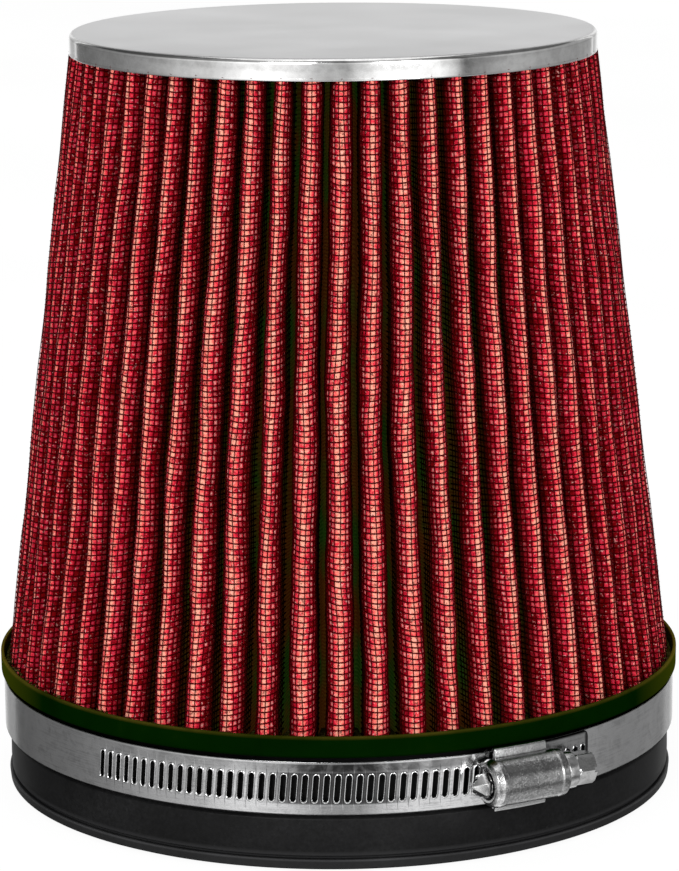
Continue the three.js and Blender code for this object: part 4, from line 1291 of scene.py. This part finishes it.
# what bright metal sees round it: bearing in degrees, brightness
ROUND = [
    (-180, 1.0), (-168, 0.97), (-160, 0.50), (-152, 0.45), (-149.5, 0.95), (-146.5, 0.20),
    (-136, 0.14), (-120, 0.19), (-104, 0.22), (-90, 0.30), (-78, 0.42), (-66, 0.60),
    (-50, 0.75), (-36, 1.3), (-22, 1.3), (-6, 0.55), (6, 0.47), (20, 1.3), (44, 1.2),
    (52, 0.8), (58, 0.16), (66, 0.28), (78, 0.44), (92, 0.41), (108, 0.32), (130, 0.30),
    (143, 0.34), (150, 0.42), (152.5, 0.95), (156, 0.45), (167, 0.97), (180, 1.0),
]


def studio_ramp(nodes, bearing):
    """The studio's brightness along a bearing in radians, as a share of its peak."""
    turn = nodes.add("MapRange", {"Value": bearing, "From Min": -math.pi, "From Max": math.pi})
    return nodes.ramp(turn, *(((at + 180) / 360, value / PEAK) for at, value in ROUND))


def floor_material():
    """Nearly white to the camera; the studio's pattern in reflections."""
    mat = new_material("studio_floor")
    tone = mat.ramp(mat.noise(mat.position, scale=3.0, detail=2.0),
                    (0.3, grey(0.93)), (0.7, grey(0.95)))
    glow = mat.add("Emission", {"Color": tone, "Strength": 1.08})
    diffuse = mat.add("BsdfDiffuse", {"Color": tone})
    seen = mat.add("MixShader", {0: 0.07, 1: glow, 2: diffuse})
    even = mat.add("Emission", {"Color": grey(1), "Strength": AMBIENT})
    incoming = mat.geometry("Incoming")
    bearing = mat.math("ARCTAN2", mat.times(incoming[0], -1.0), incoming[1])
    steepness = mat.ramp(incoming[2], (0.0, 1.0), (0.30, 1.0), (0.40, 0.34), (0.55, 0.42),
                         (0.72, 1.1), (1.0, 1.2))
    pattern = mat.multiply(studio_ramp(mat, bearing), steepness)
    mirrored = mat.add("Emission", {"Color": pattern, "Strength": PEAK})
    mat.by_ray(mirrored, even, seen)
    return mat.owner


def build_floor():
    half = 8
    corners = [(-half, -half, 0), (half, -half, 0), (half, half, 0), (-half, half, 0)]
    floor = mesh_object("studio_floor", corners, [np.array([[0, 1, 2, 3]])], shade_smooth=False)
    floor.location.z = -0.0003
    floor.data.materials.append(floor_material())


def area_light(name, at, width, height, power):
    """A rectangular light aimed at the filter."""
    light = bpy.data.lights.new(name, "AREA")
    light.shape = "RECTANGLE"
    light.size, light.size_y, light.energy = width, height, power
    obj = bpy.data.objects.new(name, light)
    bpy.context.scene.collection.objects.link(obj)
    obj.location = at
    aim = Vector((0, 0, 0.1))
    obj.rotation_euler = (aim - Vector(at)).to_track_quat("-Z", "Y").to_euler()


def build_world():
    """White to the camera, even for diffuse light, patterned in reflections."""
    world = bpy.data.worlds.new("studio")
    bpy.context.scene.world = world
    nodes = Nodes(world, "World")
    direction = nodes.split(nodes.add("TexCoord").outputs["Generated"])
    bearing = nodes.math("ARCTAN2", direction[0], nodes.times(direction[1], -1.0))
    steepness = nodes.ramp(direction[2], (0.0, 0.8), (0.14, 1.1), (0.36, 1.1), (0.46, 0.30),
                           (0.85, 0.45))
    pattern = nodes.multiply(studio_ramp(nodes, bearing), steepness)
    mirrored = nodes.add("Background", {"Color": pattern, "Strength": PEAK})
    even = nodes.add("Background", {"Color": grey(1), "Strength": AMBIENT})
    seen = nodes.add("Background", {"Color": grey(1)})
    nodes.by_ray(mirrored, even, seen)


def build_camera():
    """A long lens in front of the filter, looking slightly down."""
    data = bpy.data.cameras.new("photo_view")
    camera = bpy.data.objects.new("photo_view", data)
    bpy.context.scene.collection.objects.link(camera)
    yaw, dip, roll = 0.0008, 0.217, -0.0088          # radians
    forward = Vector((math.sin(yaw) * math.cos(dip), math.cos(yaw) * math.cos(dip),
                      -math.sin(dip)))
    level_right = Vector((math.cos(yaw), -math.sin(yaw), 0))
    level_up = level_right.cross(forward)
    right = math.cos(roll) * level_right + math.sin(roll) * level_up
    up = -math.sin(roll) * level_right + math.cos(roll) * level_up
    rotation = Matrix((right, up, -forward)).transposed()
    camera.matrix_world = Matrix.Translation((0, -0.8976, 0.2836)) @ rotation.to_4x4()
    data.sensor_width = 36.0
    data.lens = 152.1217
    data.clip_start = 0.05
    bpy.context.scene.camera = camera


build_floor()
area_light("key_front", at=(-0.42, -1.25, 0.75), width=0.45, height=0.6, power=7.2)
area_light("fill_front", at=(0.62, -1.15, 0.55), width=0.4, height=0.6, power=4.6)
area_light("top_soft", at=(0.0, 0.1, 1.5), width=1.2, height=1.2, power=4)
build_world()
build_camera()
bpy.context.scene.view_settings.view_transform = "Standard"
bpy.context.scene.view_settings.look = "None"
